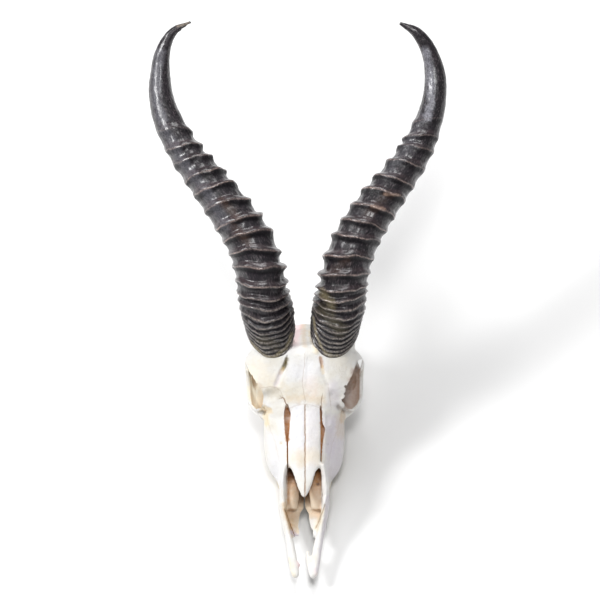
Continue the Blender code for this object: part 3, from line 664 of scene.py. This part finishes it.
# Colour of the hollows from all sides: colour, strength, middle and radii, in side, back and height. Each is
# laid only where the bone lies deep in a recess; the taupe in the socket on the animal's left is painted
# shade, and the umber makes the hollow at the back of the skull darker.
HOLLOW_STAINS_AND_SHADE = [
    (AMBER, 0.95, (0, 104, 44), (18, 26, 24)),
    (IVORY, 0.9, (-34, 139, 50), (18, 20, 18)),
    (TAUPE_SHADE, 0.9, (34, 140, 50), (20, 22, 20)),
    (UMBER, 0.6, (0, 190, 33), (9, 22, 9)),
    (SAND, 0.5, (0, 110, 12), (24, 50, 14)),
]
# Sutures: strength, then side and rise of each point
SUTURES = [
    (0.24, (0.5, 169.5), (0.2, 162), (-0.9, 154.5), (-1.3, 147.3), (-0.4, 142), (0.9, 135.5)),
    (0.18, (-9.6, 130.7), (-5, 132.6), (0.5, 133.8), (6, 132.6), (10.6, 130.7)),
    (0.2, (-30.4, 145.1), (-24.7, 145.9), (-20, 145.2), (-17.5, 143), (-14.9, 138.2)),
    (0.22, (17.1, 147.3), (18.5, 138), (19.2, 131.5)),
    (0.1, (-27.4, 127), (-25.8, 118), (-21, 106), (-18, 92)),
    (0.1, (26.6, 126), (24.2, 115), (20, 104), (17.6, 90)),
    (0.15, (-17.2, 78), (-15.8, 66), (-14, 58)),
    (0.9, (-13.9, 57.4), (-7.6, 40)),
    (0.5, (14.9, 60.9), (10.6, 48.7), (8.4, 44.3)),
    (0.62, (0.5, 133), (0.6, 110), (0.6, 90), (0.5, 66)),
    (0.9, (-17, 137.6), (-14.9, 138.2), (-13, 132.8)),
    (0.6, (12.8, 139.2), (12.4, 131)),
]
# The bone near this line between the horns isn't shaded as a recess: the line, and how far that reaches
BETWEEN_HORNS, HORNS_APART = [(-6, 190), (-2, 176)], 14
# How far in a recess the colours of slits and of hollows begin, and how soon they are full
DEEP_FROM, DEEP_SHARP, HOLLOW_FROM, HOLLOW_SHARP = 0.14, 7, 0.42, 4


def past(values, edge, width):
    """How far values are past an edge of this width, from 0 to 1."""
    return soft((values - edge) / width)


def short_of(values, edge, width):
    return soft((edge - values) / width)


recess = recess_share(skull)
from_middle, _ = along_stroke(face_view(skull), BETWEEN_HORNS)
keep(skull, "recess", recess * (1 - soft(1.6 - from_middle / HORNS_APART)))
seam_lines(skull, SUTURES)
skull_tint = np.zeros((len(recess), 4))
skull_places = places_of(skull) - np.array(SNOUT_TIP)
lay_strokes(skull_tint, skull, FACE_STAINS_AND_SHADE)
lay_strokes(skull_tint, skull, DEEP_STAINS_AND_SHADE, soft((recess - DEEP_FROM) * DEEP_SHARP))
side_off, back_off, height_off = np.abs(skull_places[:, 0]), skull_places[:, 1], skull_places[:, 2]
inside_nose = short_of(side_off, *NOSE_HALF) * past(back_off, *NOSE_FRONT) * short_of(back_off, *NOSE_REAR)
inside_nose *= short_of(height_off, np.interp(back_off, *NOSE_ROOF), 1.5) * past(height_off, *NOSE_FLOOR)
lay_strokes(skull_tint, skull, NOSE_STAINS_AND_SHADE, inside_nose)
lay_strokes(skull_tint, skull, SOCKET_STAINS_AND_SHADE)
for colour, strength, middle, radii in HOLLOW_STAINS_AND_SHADE:
    reach_out = np.linalg.norm((skull_places - np.array(middle)) / np.array(radii), axis=1)
    hollow = soft(3 * (1 - reach_out)) * soft((recess - HOLLOW_FROM) * HOLLOW_SHARP)
    lay(skull_tint, colour, strength * hollow)
keep(skull, "tint", skull_tint)


class Look:
    """A material that is put together node by node. A call adds a node and gives back its output."""

    def __init__(self, name):
        self.material = bpy.data.materials.new(name)
        self.material.use_nodes = True
        self.nodes, self.links = self.material.node_tree.nodes, self.material.node_tree.links
        self.shader = self.nodes["Principled BSDF"]

    def plug(self, node, inputs):
        """Link what is given for each input to it, or set it where that is a plain value."""
        for word, value in inputs.items():
            socket = node.inputs[word]
            if isinstance(value, bpy.types.NodeSocket):
                self.links.new(value, socket)
            else:
                socket.default_value = (*value, 1) if socket.type == "RGBA" else value

    def add(self, kind, inputs, **settings):
        node = self.nodes.new("ShaderNode" + kind)
        for word, value in settings.items():
            setattr(node, word, value)
        self.plug(node, inputs)
        return node

    def place(self):
        return self.add("TexCoord", {}).outputs["Object"]

    def mark(self, name, output="Fac"):
        return self.add("Attribute", {}, attribute_name=name).outputs[output]

    def speckle(self, vector, scale, detail=4, roughness=0.6):
        inputs = {"Vector": vector, "Scale": scale, "Detail": detail, "Roughness": roughness}
        return self.add("TexNoise", inputs).outputs["Fac"]

    def ramp(self, share, *stops):
        node = self.add("ValToRGB", {"Fac": share})
        colours = node.color_ramp.elements
        while len(colours) < len(stops):
            colours.new(0.5)
        for element, (position, colour) in zip(colours, stops):
            element.position = position
            element.color = (*colour, 1)
        return node.outputs["Color"]

    def blend(self, share, first, second, way="MIX"):
        inputs = {0: share, 6: first, 7: second}
        return self.add("Mix", inputs, data_type="RGBA", blend_type=way).outputs[2]

    def sums(self, way, *values, clamp=False):
        return self.add("Math", dict(enumerate(values)), operation=way, use_clamp=clamp).outputs[0]

    def between(self, value, low, high, to_low=0, to_high=1):
        """Smooth step of a value from low to high."""
        inputs = {"Value": value, "From Min": low, "From Max": high, "To Min": to_low, "To Max": to_high}
        return self.add("MapRange", inputs, interpolation_type="SMOOTHSTEP").outputs["Result"]

    def stretched(self, vector, stretch):
        return self.add("Mapping", {"Vector": vector, "Scale": stretch}).outputs["Vector"]

    def bumps(self, height, strength, distance, under=None):
        inputs = {"Height": height, "Strength": strength, "Distance": distance}
        if under is not None:
            inputs["Normal"] = under
        return self.add("Bump", inputs).outputs["Normal"]

    def dress(self, piece):
        piece.data.materials.clear()
        piece.data.materials.append(self.material)


OLD_BONE, CLEAN_BONE, CHALKY_BONE = (0.79, 0.76, 0.695), (0.835, 0.82, 0.785), (0.85, 0.84, 0.825)
BONE_FLECK, BONE_FIBRE = (0.74, 0.66, 0.53), (0.72, 0.66, 0.58)
# Recess dust and shade is partly dust and partly painted shade: a brown that darkens the bone the deeper it
# lies in a recess.
RECESS_DUST_AND_SHADE, SEAM_BROWN = (0.62, 0.42, 0.25), (0.28, 0.16, 0.08)
bone = Look("bleached_bone")
place = bone.place()
cloud = bone.speckle(place, 45, 3)
fleck = bone.speckle(place, 420, 5, 0.65)
fibre = bone.speckle(bone.stretched(place, (900, 110, 420)), 1)
pore = bone.speckle(place, 1900, 3)
bone_colour = bone.ramp(cloud, (0.32, OLD_BONE), (0.48, CLEAN_BONE), (0.66, CHALKY_BONE))
bone_colour = bone.blend(bone.between(fleck, 0.56, 0.75, 0, 0.35), bone_colour, BONE_FLECK)
bone_colour = bone.blend(bone.between(fibre, 0.55, 0.8, 0, 0.25), bone_colour, BONE_FIBRE)
patchy = bone.between(fleck, 0.25, 0.6, 0.78, 1.05)
tint_share = bone.sums("MULTIPLY", bone.mark("tint", "Alpha"), patchy, clamp=True)
bone_colour = bone.blend(tint_share, bone_colour, bone.mark("tint", "Color"))
# Painted shade and dust: the bone turns darker and browner where it lies in a recess.
recess_dust_and_shade = bone.between(bone.mark("recess"), 0.42, 0.95, 0, 0.6)
bone_colour = bone.blend(recess_dust_and_shade, bone_colour, RECESS_DUST_AND_SHADE, "MULTIPLY")
wander = bone.sums("MULTIPLY_ADD", bone.speckle(place, 330, 3), 1.6, -0.8)
seam = bone.sums("ABSOLUTE", bone.sums("ADD", bone.mark("seam"), wander))
seam_line = bone.sums("MULTIPLY", bone.between(seam, 0.14, 0.55, 1, 0), bone.mark("seam_near"), clamp=True)
bone_colour = bone.blend(seam_line, bone_colour, SEAM_BROWN)
rough_bone = bone.sums("ADD", bone.sums("MULTIPLY", fibre, 0.6), pore)
rough_bone = bone.sums("SUBTRACT", rough_bone, bone.sums("MULTIPLY", seam_line, 1.6))
pitted = bone.bumps(fleck, 0.5, 0.001)
bone.plug(bone.shader, {
    "Base Color": bone_colour,
    "Roughness": bone.between(fleck, 0.3, 0.7, 0.42, 0.66),
    "Specular IOR Level": 0.35,
    "Normal": bone.bumps(rough_bone, 0.6, 0.00028, pitted),
})
bone.dress(skull)
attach(skull, "root")
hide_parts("skull")

# Horn sheaths
# On the animal each is a hollow sheath over a bony core. Here it is one closed tube that stands over
# the stump of that core. It grew from the base a ring at a time: the rings crowd together at the base,
# stand a thumb apart higher up, and wear off at the tip.

# Points along the middle of each horn, base first: side, rise, depth, width
LEFT_HORN = [
    (22.6, 190, -28.5, 34.5), (26.4, 208, -20, 35.2), (29.7, 230, -16, 34.5), (37.5, 252, -17, 33),
    (50.3, 273, -20, 30.4), (66.3, 295, -27, 26.9), (80.6, 316, -35, 23.6), (90.1, 338, -41, 19.8),
    (94.5, 356, -44, 17.1), (94.7, 373, -45, 15), (90, 390, -43, 11.3), (81.2, 402.4, -40, 8),
    (69.3, 409, -37, 2),
]
RIGHT_HORN = [
    (25, 190, -28.5, 34.5), (29.1, 208, -20, 35.4), (32.6, 230, -16, 35.5), (39.9, 252, -17, 34),
    (53.9, 273, -20, 31.5), (70.6, 295, -27, 27.5), (86.5, 316, -35, 23.9), (98.5, 338, -41, 20.8),
    (103.8, 356, -44, 17.8), (104.5, 373, -45, 14.5), (102.2, 390, -43, 10.5), (94.6, 403.3, -40, 6),
    (82.5, 410, -37, 1.2),
]
HORN_DEEP, ROUND_FROM = 1.1, 0.6  # front to back over side to side at the base, and where it ends
BASE_DIP, DIP_FADES = 17, 13  # how far the rim hangs down in front, and how soon that fades
# Distance along each horn of its ring crests, and how high the rings stand at a distance
LEFT_RINGS = [0.8, 2.4, 4.2, 6.2, 8.4, 11, 14, 17.5, 21.5, 26.5, 32, 41, 53, 67, 78, 90.5, 104.5, 116.5,
              131.5, 146, 156.5, 170]
RIGHT_RINGS = [0.6, 2, 3.7, 5.6, 7.7, 10.2, 13.2, 16.8, 21.5, 27, 35, 45.5, 56.5, 70, 81, 95, 110, 123, 137,
               150, 164.5]
PAST_RINGS = (17, 45, 90)  # faint swells on the tip, from the last crest on
RING_STANDS = ((0, 8, 20, 40, 70, 100, 130, 150, 170, 182),
               (1.2, 2.4, 3.2, 3.2, 2.6, 2.3, 2.3, 2, 0.8, 0))
# Where folds begin to open into lips, rings to stand askew and rings to soften, and over what distance
FOLDS_OPEN, RINGS_TILT, RINGS_SOFTEN = (6, 34), (-5, 60), (108, 30)
# How far a ring stands askew, how soft it becomes, and how high it stands where its colours show
RING_LEAN, RING_SOFT, RING_SHOWS = 5, 0.75, 1.6
# Outline of a lip: where it has fallen away, how far it then climbs slowly, and from where it turns up
LIP_FALLS, LIP_SCOOP, LIP_TURNS = 0.32, 0.34, 0.6
# How far wear rounds a lip, how sharp a fold is, and a bead on the slope of a lip
LIP_WORN, FOLD_SHARP = 0.05, 0.6
BEAD_HEIGHT, BEAD_PLACE, BEAD_WIDTH = 0.14, 0.2, 0.05
# Length of a frayed tip, steps of the middle line, columns of the mesh and distance between its rows
TIP_FRAYS = 20
HORN_STEPS, HORN_SIDES = 24, 120
BASE_STEP, TIP_STEP, STEP_GROWS = 0.24, 0.62, 60
# Unevenness: how fine it is round the horn, and its length along it
WAVE, RIPPLE = (1.2, 13), (3.6, 6)
GRIT_SIZE, GRIT_LONG, FRAY_SIZE, FRAY_LONG = 1.6, 3.2, 0.7, 5
# How far it shifts the rings along the horn, how high it stands, and how much of a ring is sunk
WAVE_SHIFT, RIPPLE_SHIFT, WAVE_RISE, GRIT_RISE, FRAY_RISE, RING_SUNK = 1.2, 0.45, 0.25, 0.16, 1.8, 0.42


def horn_rows(points, side):
    """Middle, direction, front, inner side, width and distance of each row of a sheath."""
    path = smooth_path(points, HORN_STEPS)
    line = np.array([from_face_view(side * p[0], p[1], p[2]) for p in path])
    along = np.concatenate([[0], np.cumsum(np.linalg.norm(np.diff(line, axis=0), axis=1))])
    places = [0.0]
    while places[-1] < along[-1]:
        places.append(places[-1] + BASE_STEP + (TIP_STEP - BASE_STEP) * min(1, places[-1] / STEP_GROWS))
    places = np.array(places[:-1] + [along[-1]])
    middle = np.column_stack([np.interp(places, along, line[:, i]) for i in range(3)])
    ahead = np.gradient(middle, places, axis=0)
    ahead /= np.linalg.norm(ahead, axis=1)[:, None]
    eye = np.array(from_face_view(0, 0, 1))
    front = eye - ahead * (ahead @ eye)[:, None]
    front /= np.linalg.norm(front, axis=1)[:, None]
    return middle, ahead, front, np.cross(front, ahead) * side, np.interp(places, along, path[:, 3]), places


def ring_shape(share, spread, roll_off):
    """Height of a ring at a share of the way to the next one: folds at the base, lips, then soft rolls."""
    fold = abs(math.cos(math.pi * share)) ** FOLD_SHARP
    if share < LIP_FALLS:
        lip = 0.5 + 0.5 * math.cos(math.pi * (share / LIP_FALLS) ** 1.25)
    else:
        climb = (share - LIP_FALLS) / (1 - LIP_FALLS)
        turned = max(0, (climb - LIP_TURNS) / (1 - LIP_TURNS))
        lip = LIP_SCOOP * climb ** 1.3 + (1 - LIP_SCOOP) * turned ** 1.5
    lip += BEAD_HEIGHT * math.exp(-((share - BEAD_PLACE) / BEAD_WIDTH) ** 2)
    soft_roll = (0.5 + 0.5 * math.cos(2 * math.pi * share)) ** 1.3
    lip = lip * (1 - roll_off) + soft_roll * roll_off
    return fold * (1 - spread) + lip * spread


def worn_ring(share, spread, roll_off):
    slips = (-LIP_WORN, 0, LIP_WORN)
    return sum(ring_shape((share + slip) % 1, spread, roll_off) for slip in slips) / 3


def part_way(place, start, reach):
    return min(1, max(0, (place - start) / reach))


def peak(share, middle, width):
    return max(0, 1 - abs(share - middle) / width)


def waver(c, s, place, fine, long, seed=0):
    return noise.noise(Vector((c * fine, s * fine, place / long + seed)))


def make_sheath(name, points, side, crests, frayed):
    """Tube of one sheath with its rings, waves and grit, and marks for the colours of crests, partly painted
    highlight, and the painted shade of grooves.
    """
    middle, ahead, front, inner, widths, places = horn_rows(points, side)
    length = places[-1]
    knots = np.array([-2.0] + crests + [crests[-1] + beyond for beyond in PAST_RINGS])
    stands = np.interp(places, *RING_STANDS)
    rings, kept = [], []
    for row, place in enumerate(places):
        half = widths[row] / 2
        deep = half * (HORN_DEEP + (1 - HORN_DEEP) * min(1, place / (ROUND_FROM * length)))
        dip = BASE_DIP * math.exp(-place / DIP_FADES)
        spread = part_way(place, *FOLDS_OPEN)
        lean = RING_LEAN * part_way(place, *RINGS_TILT)
        roll_off = RING_SOFT * part_way(place, *RINGS_SOFTEN)
        ragged = part_way(place, length - TIP_FRAYS, TIP_FRAYS) * frayed
        shown = min(1, stands[row] / RING_SHOWS)
        rings.append([])
        kept.append([])
        for c, s in circle(HORN_SIDES):
            wave = waver(c, s, place, *WAVE, side * 7)
            ripple = waver(c, s, place, *RIPPLE, side * 3)
            at = place + lean * s + wave * (WAVE_SHIFT + 0.7 * spread) + ripple * RIPPLE_SHIFT
            k = int(min(len(knots) - 2, max(0, np.searchsorted(knots, at) - 1)))
            gap = knots[k + 1] - knots[k]
            share = part_way(at, knots[k], gap)
            uneven_ring = noise.noise(Vector((k * 1.7 + side * 5, c, s))) * (1 - 0.7 * spread)
            stand = min(stands[row], (0.8 - 0.3 * spread) * gap) * (0.9 + 0.3 * s)
            stand *= 1 + 0.5 * ripple + 0.9 * uneven_ring
            push = (worn_ring(share, spread, roll_off) - RING_SUNK) * stand
            grit = waver(c, s, place, half / GRIT_SIZE, GRIT_LONG, side * 9)
            push += grit * (GRIT_RISE + 0.14 * (1 - spread)) + wave * WAVE_RISE
            fray = waver(c, s, place, half / FRAY_SIZE, FRAY_LONG)
            push += ragged * max(0, s * 0.6 - c * 0.3 + 0.3) * fray * FRAY_RISE
            out = front[row] * c * (deep + push) + inner[row] * s * (half + push)
            rings[-1].append(middle[row] + out - ahead[row] * dip * ((1 + c) / 2) ** 2)
            # Crest marks paler worn horn along each lip that also stands for the highlight its edge catches.
            # Groove marks painted shade under each lip and between the folds.
            off_crest = (at - knots[k]) if share < 0.5 else (at - knots[k + 1])
            crest = peak(off_crest, 0.15, 0.45 + 0.2 * spread) * (1 - 0.6 * roll_off) * (0.75 + 0.6 * wave)
            groove_shade = peak(share, 0.82, 0.2) * spread * (1 - 0.4 * roll_off)
            groove_shade = min(1, groove_shade + peak(share, 0.5, 0.3) * (1 - spread))
            rose = peak(share, 0.2, 0.2) * spread
            kept[-1].append((shown * max(0, crest), shown * groove_shade, shown * rose, 1 - spread,
                             c * half, s * half, at))
    kept = np.array(kept)
    marks = {word: kept[:, :, i] for i, word in enumerate(("crest", "groove_shade", "rose", "fold"))}
    marks["grain"] = kept[:, :, 4:]
    return roll(name, rings, marks)


# Worn and crusted places, and painted highlights: colour, strength, radius, then side and rise of each
# point. The silver strokes down the tips and the lit sides of the rings are painted highlight with a little
# polish, and the sand strokes on two crests are partly painted highlight.
HORN_SAND, HORN_CLAY, HORN_STRAW = (0.46, 0.31, 0.24), (0.2, 0.11, 0.075), (0.3, 0.25, 0.14)
HORN_MOSS, HORN_PALE, HORN_SILVER_HIGHLIGHT = (0.1, 0.085, 0.05), (0.55, 0.45, 0.36), (0.36, 0.36, 0.41)
LEFT_HORN_WEAR_AND_HIGHLIGHTS = [
    (HORN_SAND, 0.7, 1.5, (48.7, 276.2), (58.1, 274)),
    (HORN_SAND, 0.7, 1.5, (58.1, 284.9), (69, 284)),
    (HORN_CLAY, 0.14, 6, (46, 270), (60, 284)),
    (HORN_STRAW, 0.6, 4.5, (12.7, 214), (20, 204.9)),
    (HORN_MOSS, 0.65, 8, (14, 201), (26, 187)),
    (HORN_CLAY, 0.16, 6, (20, 228), (30, 236)),
    (HORN_STRAW, 0.85, 1.3, (6.6, 196), (8.6, 183), (13.6, 172.5), (19, 167)),
    (HORN_STRAW, 0.6, 2.2, (15, 169.5), (27.8, 167), (35, 173)),
    (HORN_SILVER_HIGHLIGHT, 0.62, 4.6, (88.5, 389), (91.6, 372), (91.8, 352), (89, 340)),
    (HORN_SILVER_HIGHLIGHT, 0.14, 6.5, (86, 342), (74, 318), (60, 300)),
]
RIGHT_HORN_WEAR_AND_HIGHLIGHTS = [
    (HORN_STRAW, 0.75, 1.9, (-40, 178.5), (-30, 168.4), (-22.5, 166.4), (-13, 173.5), (-9, 184)),
    (HORN_CLAY, 0.22, 5, (-60, 280), (-48, 268)),
    (HORN_CLAY, 0.2, 5, (-52, 262), (-40, 250)),
    (HORN_MOSS, 0.45, 5, (-32, 180), (-20, 176)),
    (HORN_PALE, 0.45, 1.6, (-92, 407), (-84, 409)),
    (HORN_SILVER_HIGHLIGHT, 0.34, 5.5, (-104, 388), (-107.6, 372), (-107.6, 354), (-103, 339)),
    (HORN_SILVER_HIGHLIGHT, 0.22, 6.5, (-101, 332), (-88, 308), (-70, 286), (-56, 262)),
]
# Colours of the horn itself, dark to light, then of its patches, its lips, the painted shade of their
# grooves, and their crests, which are paler worn horn with a painted highlight
HORN_BLACK, HORN_DARK, HORN_GREY = (0.003, 0.002, 0.004), (0.011, 0.009, 0.012), (0.12, 0.095, 0.106)
HORN_PATCH, HORN_ROSE, HORN_GROOVE_SHADE = (0.018, 0.013, 0.019), (0.052, 0.03, 0.034), (0.002, 0.0015, 0.003)
HORN_CREST, HORN_FOLD = (0.6, 0.45, 0.4), (0.46, 0.41, 0.36)
horn = Look("dark_horn")
place = horn.place()
strand = horn.speckle(horn.stretched(horn.mark("grain", "Vector"), (1.1, 1.1, 0.45)), 1, 5, 0.65)
patch = horn.speckle(place, 75)
crumb = horn.speckle(place, 900, 5, 0.7)
crest, groove_shade = horn.mark("crest"), horn.mark("groove_shade")
horn_colour = horn.ramp(strand, (0.38, HORN_BLACK), (0.52, HORN_DARK), (0.68, HORN_GREY))
horn_colour = horn.blend(horn.between(patch, 0.40, 0.68, 0, 0.6), horn_colour, HORN_PATCH)
rose_share = horn.sums("MULTIPLY", horn.mark("rose"), horn.between(patch, 0.3, 0.6, 0.1, 0.7), clamp=True)
horn_colour = horn.blend(rose_share, horn_colour, HORN_ROSE)
# Painted shade: the grooves under the lips and between the folds go near black.
horn_colour = horn.blend(horn.sums("MULTIPLY", groove_shade, 0.96, clamp=True), horn_colour, HORN_GROOVE_SHADE)
# The wear, crust and painted highlights of the tint are broken up by fine speckle.
tint_breakup = horn.between(crumb, 0.4, 0.6, 0.45, 1)
tint_share = horn.sums("MULTIPLY", horn.mark("tint", "Alpha"), tint_breakup, clamp=True)
horn_colour = horn.blend(tint_share, horn_colour, horn.mark("tint", "Color"))
# Crest lines: paler worn horn that is also painted highlight along each lip and fold.
crest_share = horn.sums("MULTIPLY", crest, horn.between(crumb, 0.38, 0.60, 0.15, 1), clamp=True)
crest_wear_and_highlight = horn.blend(horn.mark("fold"), HORN_CREST, HORN_FOLD)
horn_colour = horn.blend(crest_share, horn_colour, crest_wear_and_highlight)
polish = horn.sums("ADD", horn.between(crumb, 0.34, 0.60, 0.35, 1), crest)
polish = horn.sums("SUBTRACT", polish, horn.sums("MULTIPLY", groove_shade, 1.6), clamp=True)
rough_horn = horn.sums("ADD", horn.sums("MULTIPLY", strand, 1.2), crumb)
coarse_horn = horn.bumps(horn.speckle(place, 260, 3), 0.25, 0.0012)
horn.plug(horn.shader, {
    "Base Color": horn_colour,
    "Roughness": horn.between(crumb, 0.35, 0.65, 0.28, 0.46),
    "Specular IOR Level": 0.28,
    "Coat Weight": polish,
    "Coat Roughness": 0.25,
    "Normal": horn.bumps(rough_horn, 0.35, 0.0005, coarse_horn),
})

for word, points, side, crests, wear_and_highlights, frayed in (
    ("left", LEFT_HORN, 1, LEFT_RINGS, LEFT_HORN_WEAR_AND_HIGHLIGHTS, 0),
    ("right", RIGHT_HORN, -1, RIGHT_RINGS, RIGHT_HORN_WEAR_AND_HIGHLIGHTS, 1),
):
    sheath = make_sheath(f"{word}_horn_sheath", points, side, crests, frayed)
    sheath_tint = np.zeros((len(sheath.data.vertices), 4))
    # Lay the wear, the crust and the painted highlights
    lay_strokes(sheath_tint, sheath, wear_and_highlights)
    keep(sheath, "tint", sheath_tint)
    shade_smooth(sheath, 70)
    horn.dress(sheath)
    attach(sheath, "root")
    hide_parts(f"{word}_horn")

# Cheek teeth
# Three premolars and three molars stand in sockets on each side. A crown is a pair of tall folds of
# enamel round softer dentine, worn flat where it met the lower teeth, and brown in its furrows.

# Name, length along the row, width, folds
TEETH = [
    ("premolar_2", 7, 5.6, 1), ("premolar_3", 8.2, 6.8, 1), ("premolar_4", 8.2, 8, 1),
    ("molar_1", 10.4, 9.6, 2), ("molar_2", 12.4, 10.4, 2), ("molar_3", 13.4, 9.6, 2),
]
TOOTH_ROW_START = 61.5
TOOTH_ROW = [(62, 11.6), (73, 13.2), (82, 14.2), (91, 15.4), (102, 19), (114, 22), (124, 23.2)]
TOOTH_TOP, TOOTH_GAP = 14, 0.3
# Columns of a crown, and the clefts between its folds: their width, and how deep outside and inside
CROWN_SIDES, CLEFT_WIDTH, CLEFT_OUTSIDE, CLEFT_INSIDE = 72, 0.16, 0.2, 0.11
# Height and size of a crown at each level, from its basin out over the rim and up to the root
CROWN_LEVELS = [(0.16, 0.1), (0.1, 0.42), (0.03, 0.66), (0, 0.8), (0.02, 0.9), (0.1, 0.955),
                (0.24, 0.985), (0.4, 1), (0.6, 0.985), (0.8, 0.93), (1, 0.84)]


def make_crown(name, folds):
    """A crown one unit long, wide and high, standing on its biting face, with its basin hollowed."""
    rings, furrows = [], []
    for height, size in CROWN_LEVELS:
        rings.append([])
        furrows.append([])
        for c, s in circle(CROWN_SIDES):
            x = math.copysign(abs(c) ** 0.75, c)
            y = math.copysign(abs(s) ** 0.75, s)
            cleft = 0.0
            for j in range(folds + 1):
                valley = -1 + 2 * j / folds if folds > 1 else (-0.45, 0.45)[j]
                depth = 1 if abs(valley) < 0.9 else 0.3
                cleft = max(cleft, depth * math.exp(-((y - valley) / CLEFT_WIDTH) ** 2))
            pinch = 1 - (CLEFT_OUTSIDE if x < 0 else CLEFT_INSIDE) * cleft * min(1, size * 1.1)
            rings[-1].append((x * size * pinch / 2, y * size / 2, height))
            furrows[-1].append(cleft)
    return roll(name, np.array(rings) / MM - np.array(SNOUT_TIP), {"furrow": furrows})


ROOT_TAN, TOOTH_BUFF, TOOTH_PALE = (0.6, 0.5, 0.33), (0.8, 0.74, 0.6), (0.86, 0.83, 0.74)
FURROW_BROWN, DENTINE = (0.2, 0.11, 0.05), (0.34, 0.22, 0.11)
enamel = Look("worn_enamel")
place = enamel.place()
stain = enamel.speckle(place, 240)
ridges = enamel.speckle(enamel.stretched(place, (1600, 1600, 160)), 1, 3)
tooth_colour = enamel.ramp(stain, (0.30, ROOT_TAN), (0.55, TOOTH_BUFF), (0.75, TOOTH_PALE))
stained = enamel.between(stain, 0.3, 0.6, 0.9, 0.5)
furrow_share = enamel.sums("MULTIPLY", enamel.mark("furrow"), stained, clamp=True)
tooth_colour = enamel.blend(furrow_share, tooth_colour, FURROW_BROWN)
height = enamel.add("SeparateXYZ", {"Vector": place}).outputs["Z"]
tooth_colour = enamel.blend(enamel.between(height, 0.0002, 0.0022, 0.65, 0), tooth_colour, DENTINE)
enamel.plug(enamel.shader, {
    "Base Color": tooth_colour,
    "Roughness": enamel.between(ridges, 0.3, 0.7, 0.25, 0.45),
    "Coat Weight": 0.25,
    "Coat Roughness": 0.2,
    "Normal": enamel.bumps(ridges, 0.4, 0.0003),
})

patterns = {1: make_crown("one_fold_crown", 1), 2: make_crown("two_fold_crown", 2)}
row_line = smooth_path(TOOTH_ROW, 8)
back = TOOTH_ROW_START
for tooth, length, width, folds in TEETH:
    middle = back + length / 2
    across = float(np.interp(middle, row_line[:, 0], row_line[:, 1]))
    turn = math.atan2(float(np.interp(middle + 2, row_line[:, 0], row_line[:, 1])) - across, 2)
    for word, side in (("left", 1), ("right", -1)):
        crown = patterns[folds].copy()
        crown.data = patterns[folds].data.copy()
        bpy.context.collection.objects.link(crown)
        crown.name = f"{word}_{tooth}_crown"
        shape = places_of(crown) * MM
        wide, long = shape[:, 0] * -width, shape[:, 1] * (length - TOOTH_GAP)
        spots = np.column_stack([
            side * (across + wide * math.cos(turn) + long * math.sin(turn)) + SNOUT_TIP.x,
            middle + long * math.cos(turn) - wide * math.sin(turn) + SNOUT_TIP.y,
            shape[:, 2] * (TOOTH_TOP + 1),
        ])
        crown.data.vertices.foreach_set("co", (spots * MM).ravel())
        enamel.dress(crown)
        bpy.context.view_layer.objects.active = crown
        crown.select_set(True)
        bpy.ops.object.mode_set(mode="EDIT")
        bpy.ops.mesh.select_all(action="SELECT")
        bpy.ops.mesh.normals_make_consistent(inside=False)
        bpy.ops.object.mode_set(mode="OBJECT")
        shade_smooth(crown, 50)
        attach(crown, "root")
        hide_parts(f"{word}_{tooth}")
    back += length
for pattern in patterns.values():
    bpy.data.objects.remove(pattern)

# Floor and light
# A plain pale floor under a soft lamp at the left, a weak one in front, a wide one over the horns
# and an even sky.

# Size of the floor in metres, and its colour
FLOOR_SIZE, FLOOR_WHITE = 8, (0.93, 0.93, 0.93)
# Name, place in metres as side, rise and depth, size in metres and power in watts of each lamp
LAMPS = [
    ("left_lamp", (-1.55, 0.85, 1.35), 0.55, 29),
    ("front_lamp", (0.05, 0.75, 2.3), 0.5, 18),
    ("crown_lamp", (0, 2.2, 0.7), 1, 24),
]
AIM = (0, 230, -20)
SKY = 0.26
bpy.ops.mesh.primitive_plane_add(size=FLOOR_SIZE)
floor = bpy.context.object
floor.name = "floor"
floor_look = Look("pale_floor")
floor_look.plug(floor_look.shader, {"Base Color": FLOOR_WHITE, "Roughness": 0.9, "Specular IOR Level": 0.1})
floor_look.dress(floor)
floor.select_set(False)

aim = (from_face_view(*AIM) + SNOUT_TIP) * MM
for word, spot, size, power in LAMPS:
    bpy.ops.object.light_add(type="AREA")
    lamp = bpy.context.object
    lamp.name = word
    lamp.location = from_face_view(*spot)
    lamp.rotation_euler = (lamp.location - aim).to_track_quat("Z", "Y").to_euler()
    lamp.data.size = size
    lamp.data.energy = power
bpy.context.scene.world = bpy.data.worlds.new("sky")
bpy.context.scene.world.use_nodes = True
sky = bpy.context.scene.world.node_tree.nodes["Background"]
sky.inputs["Color"].default_value = (1, 1, 1, 1)
sky.inputs["Strength"].default_value = SKY
bpy.context.scene.view_settings.view_transform = "Standard"
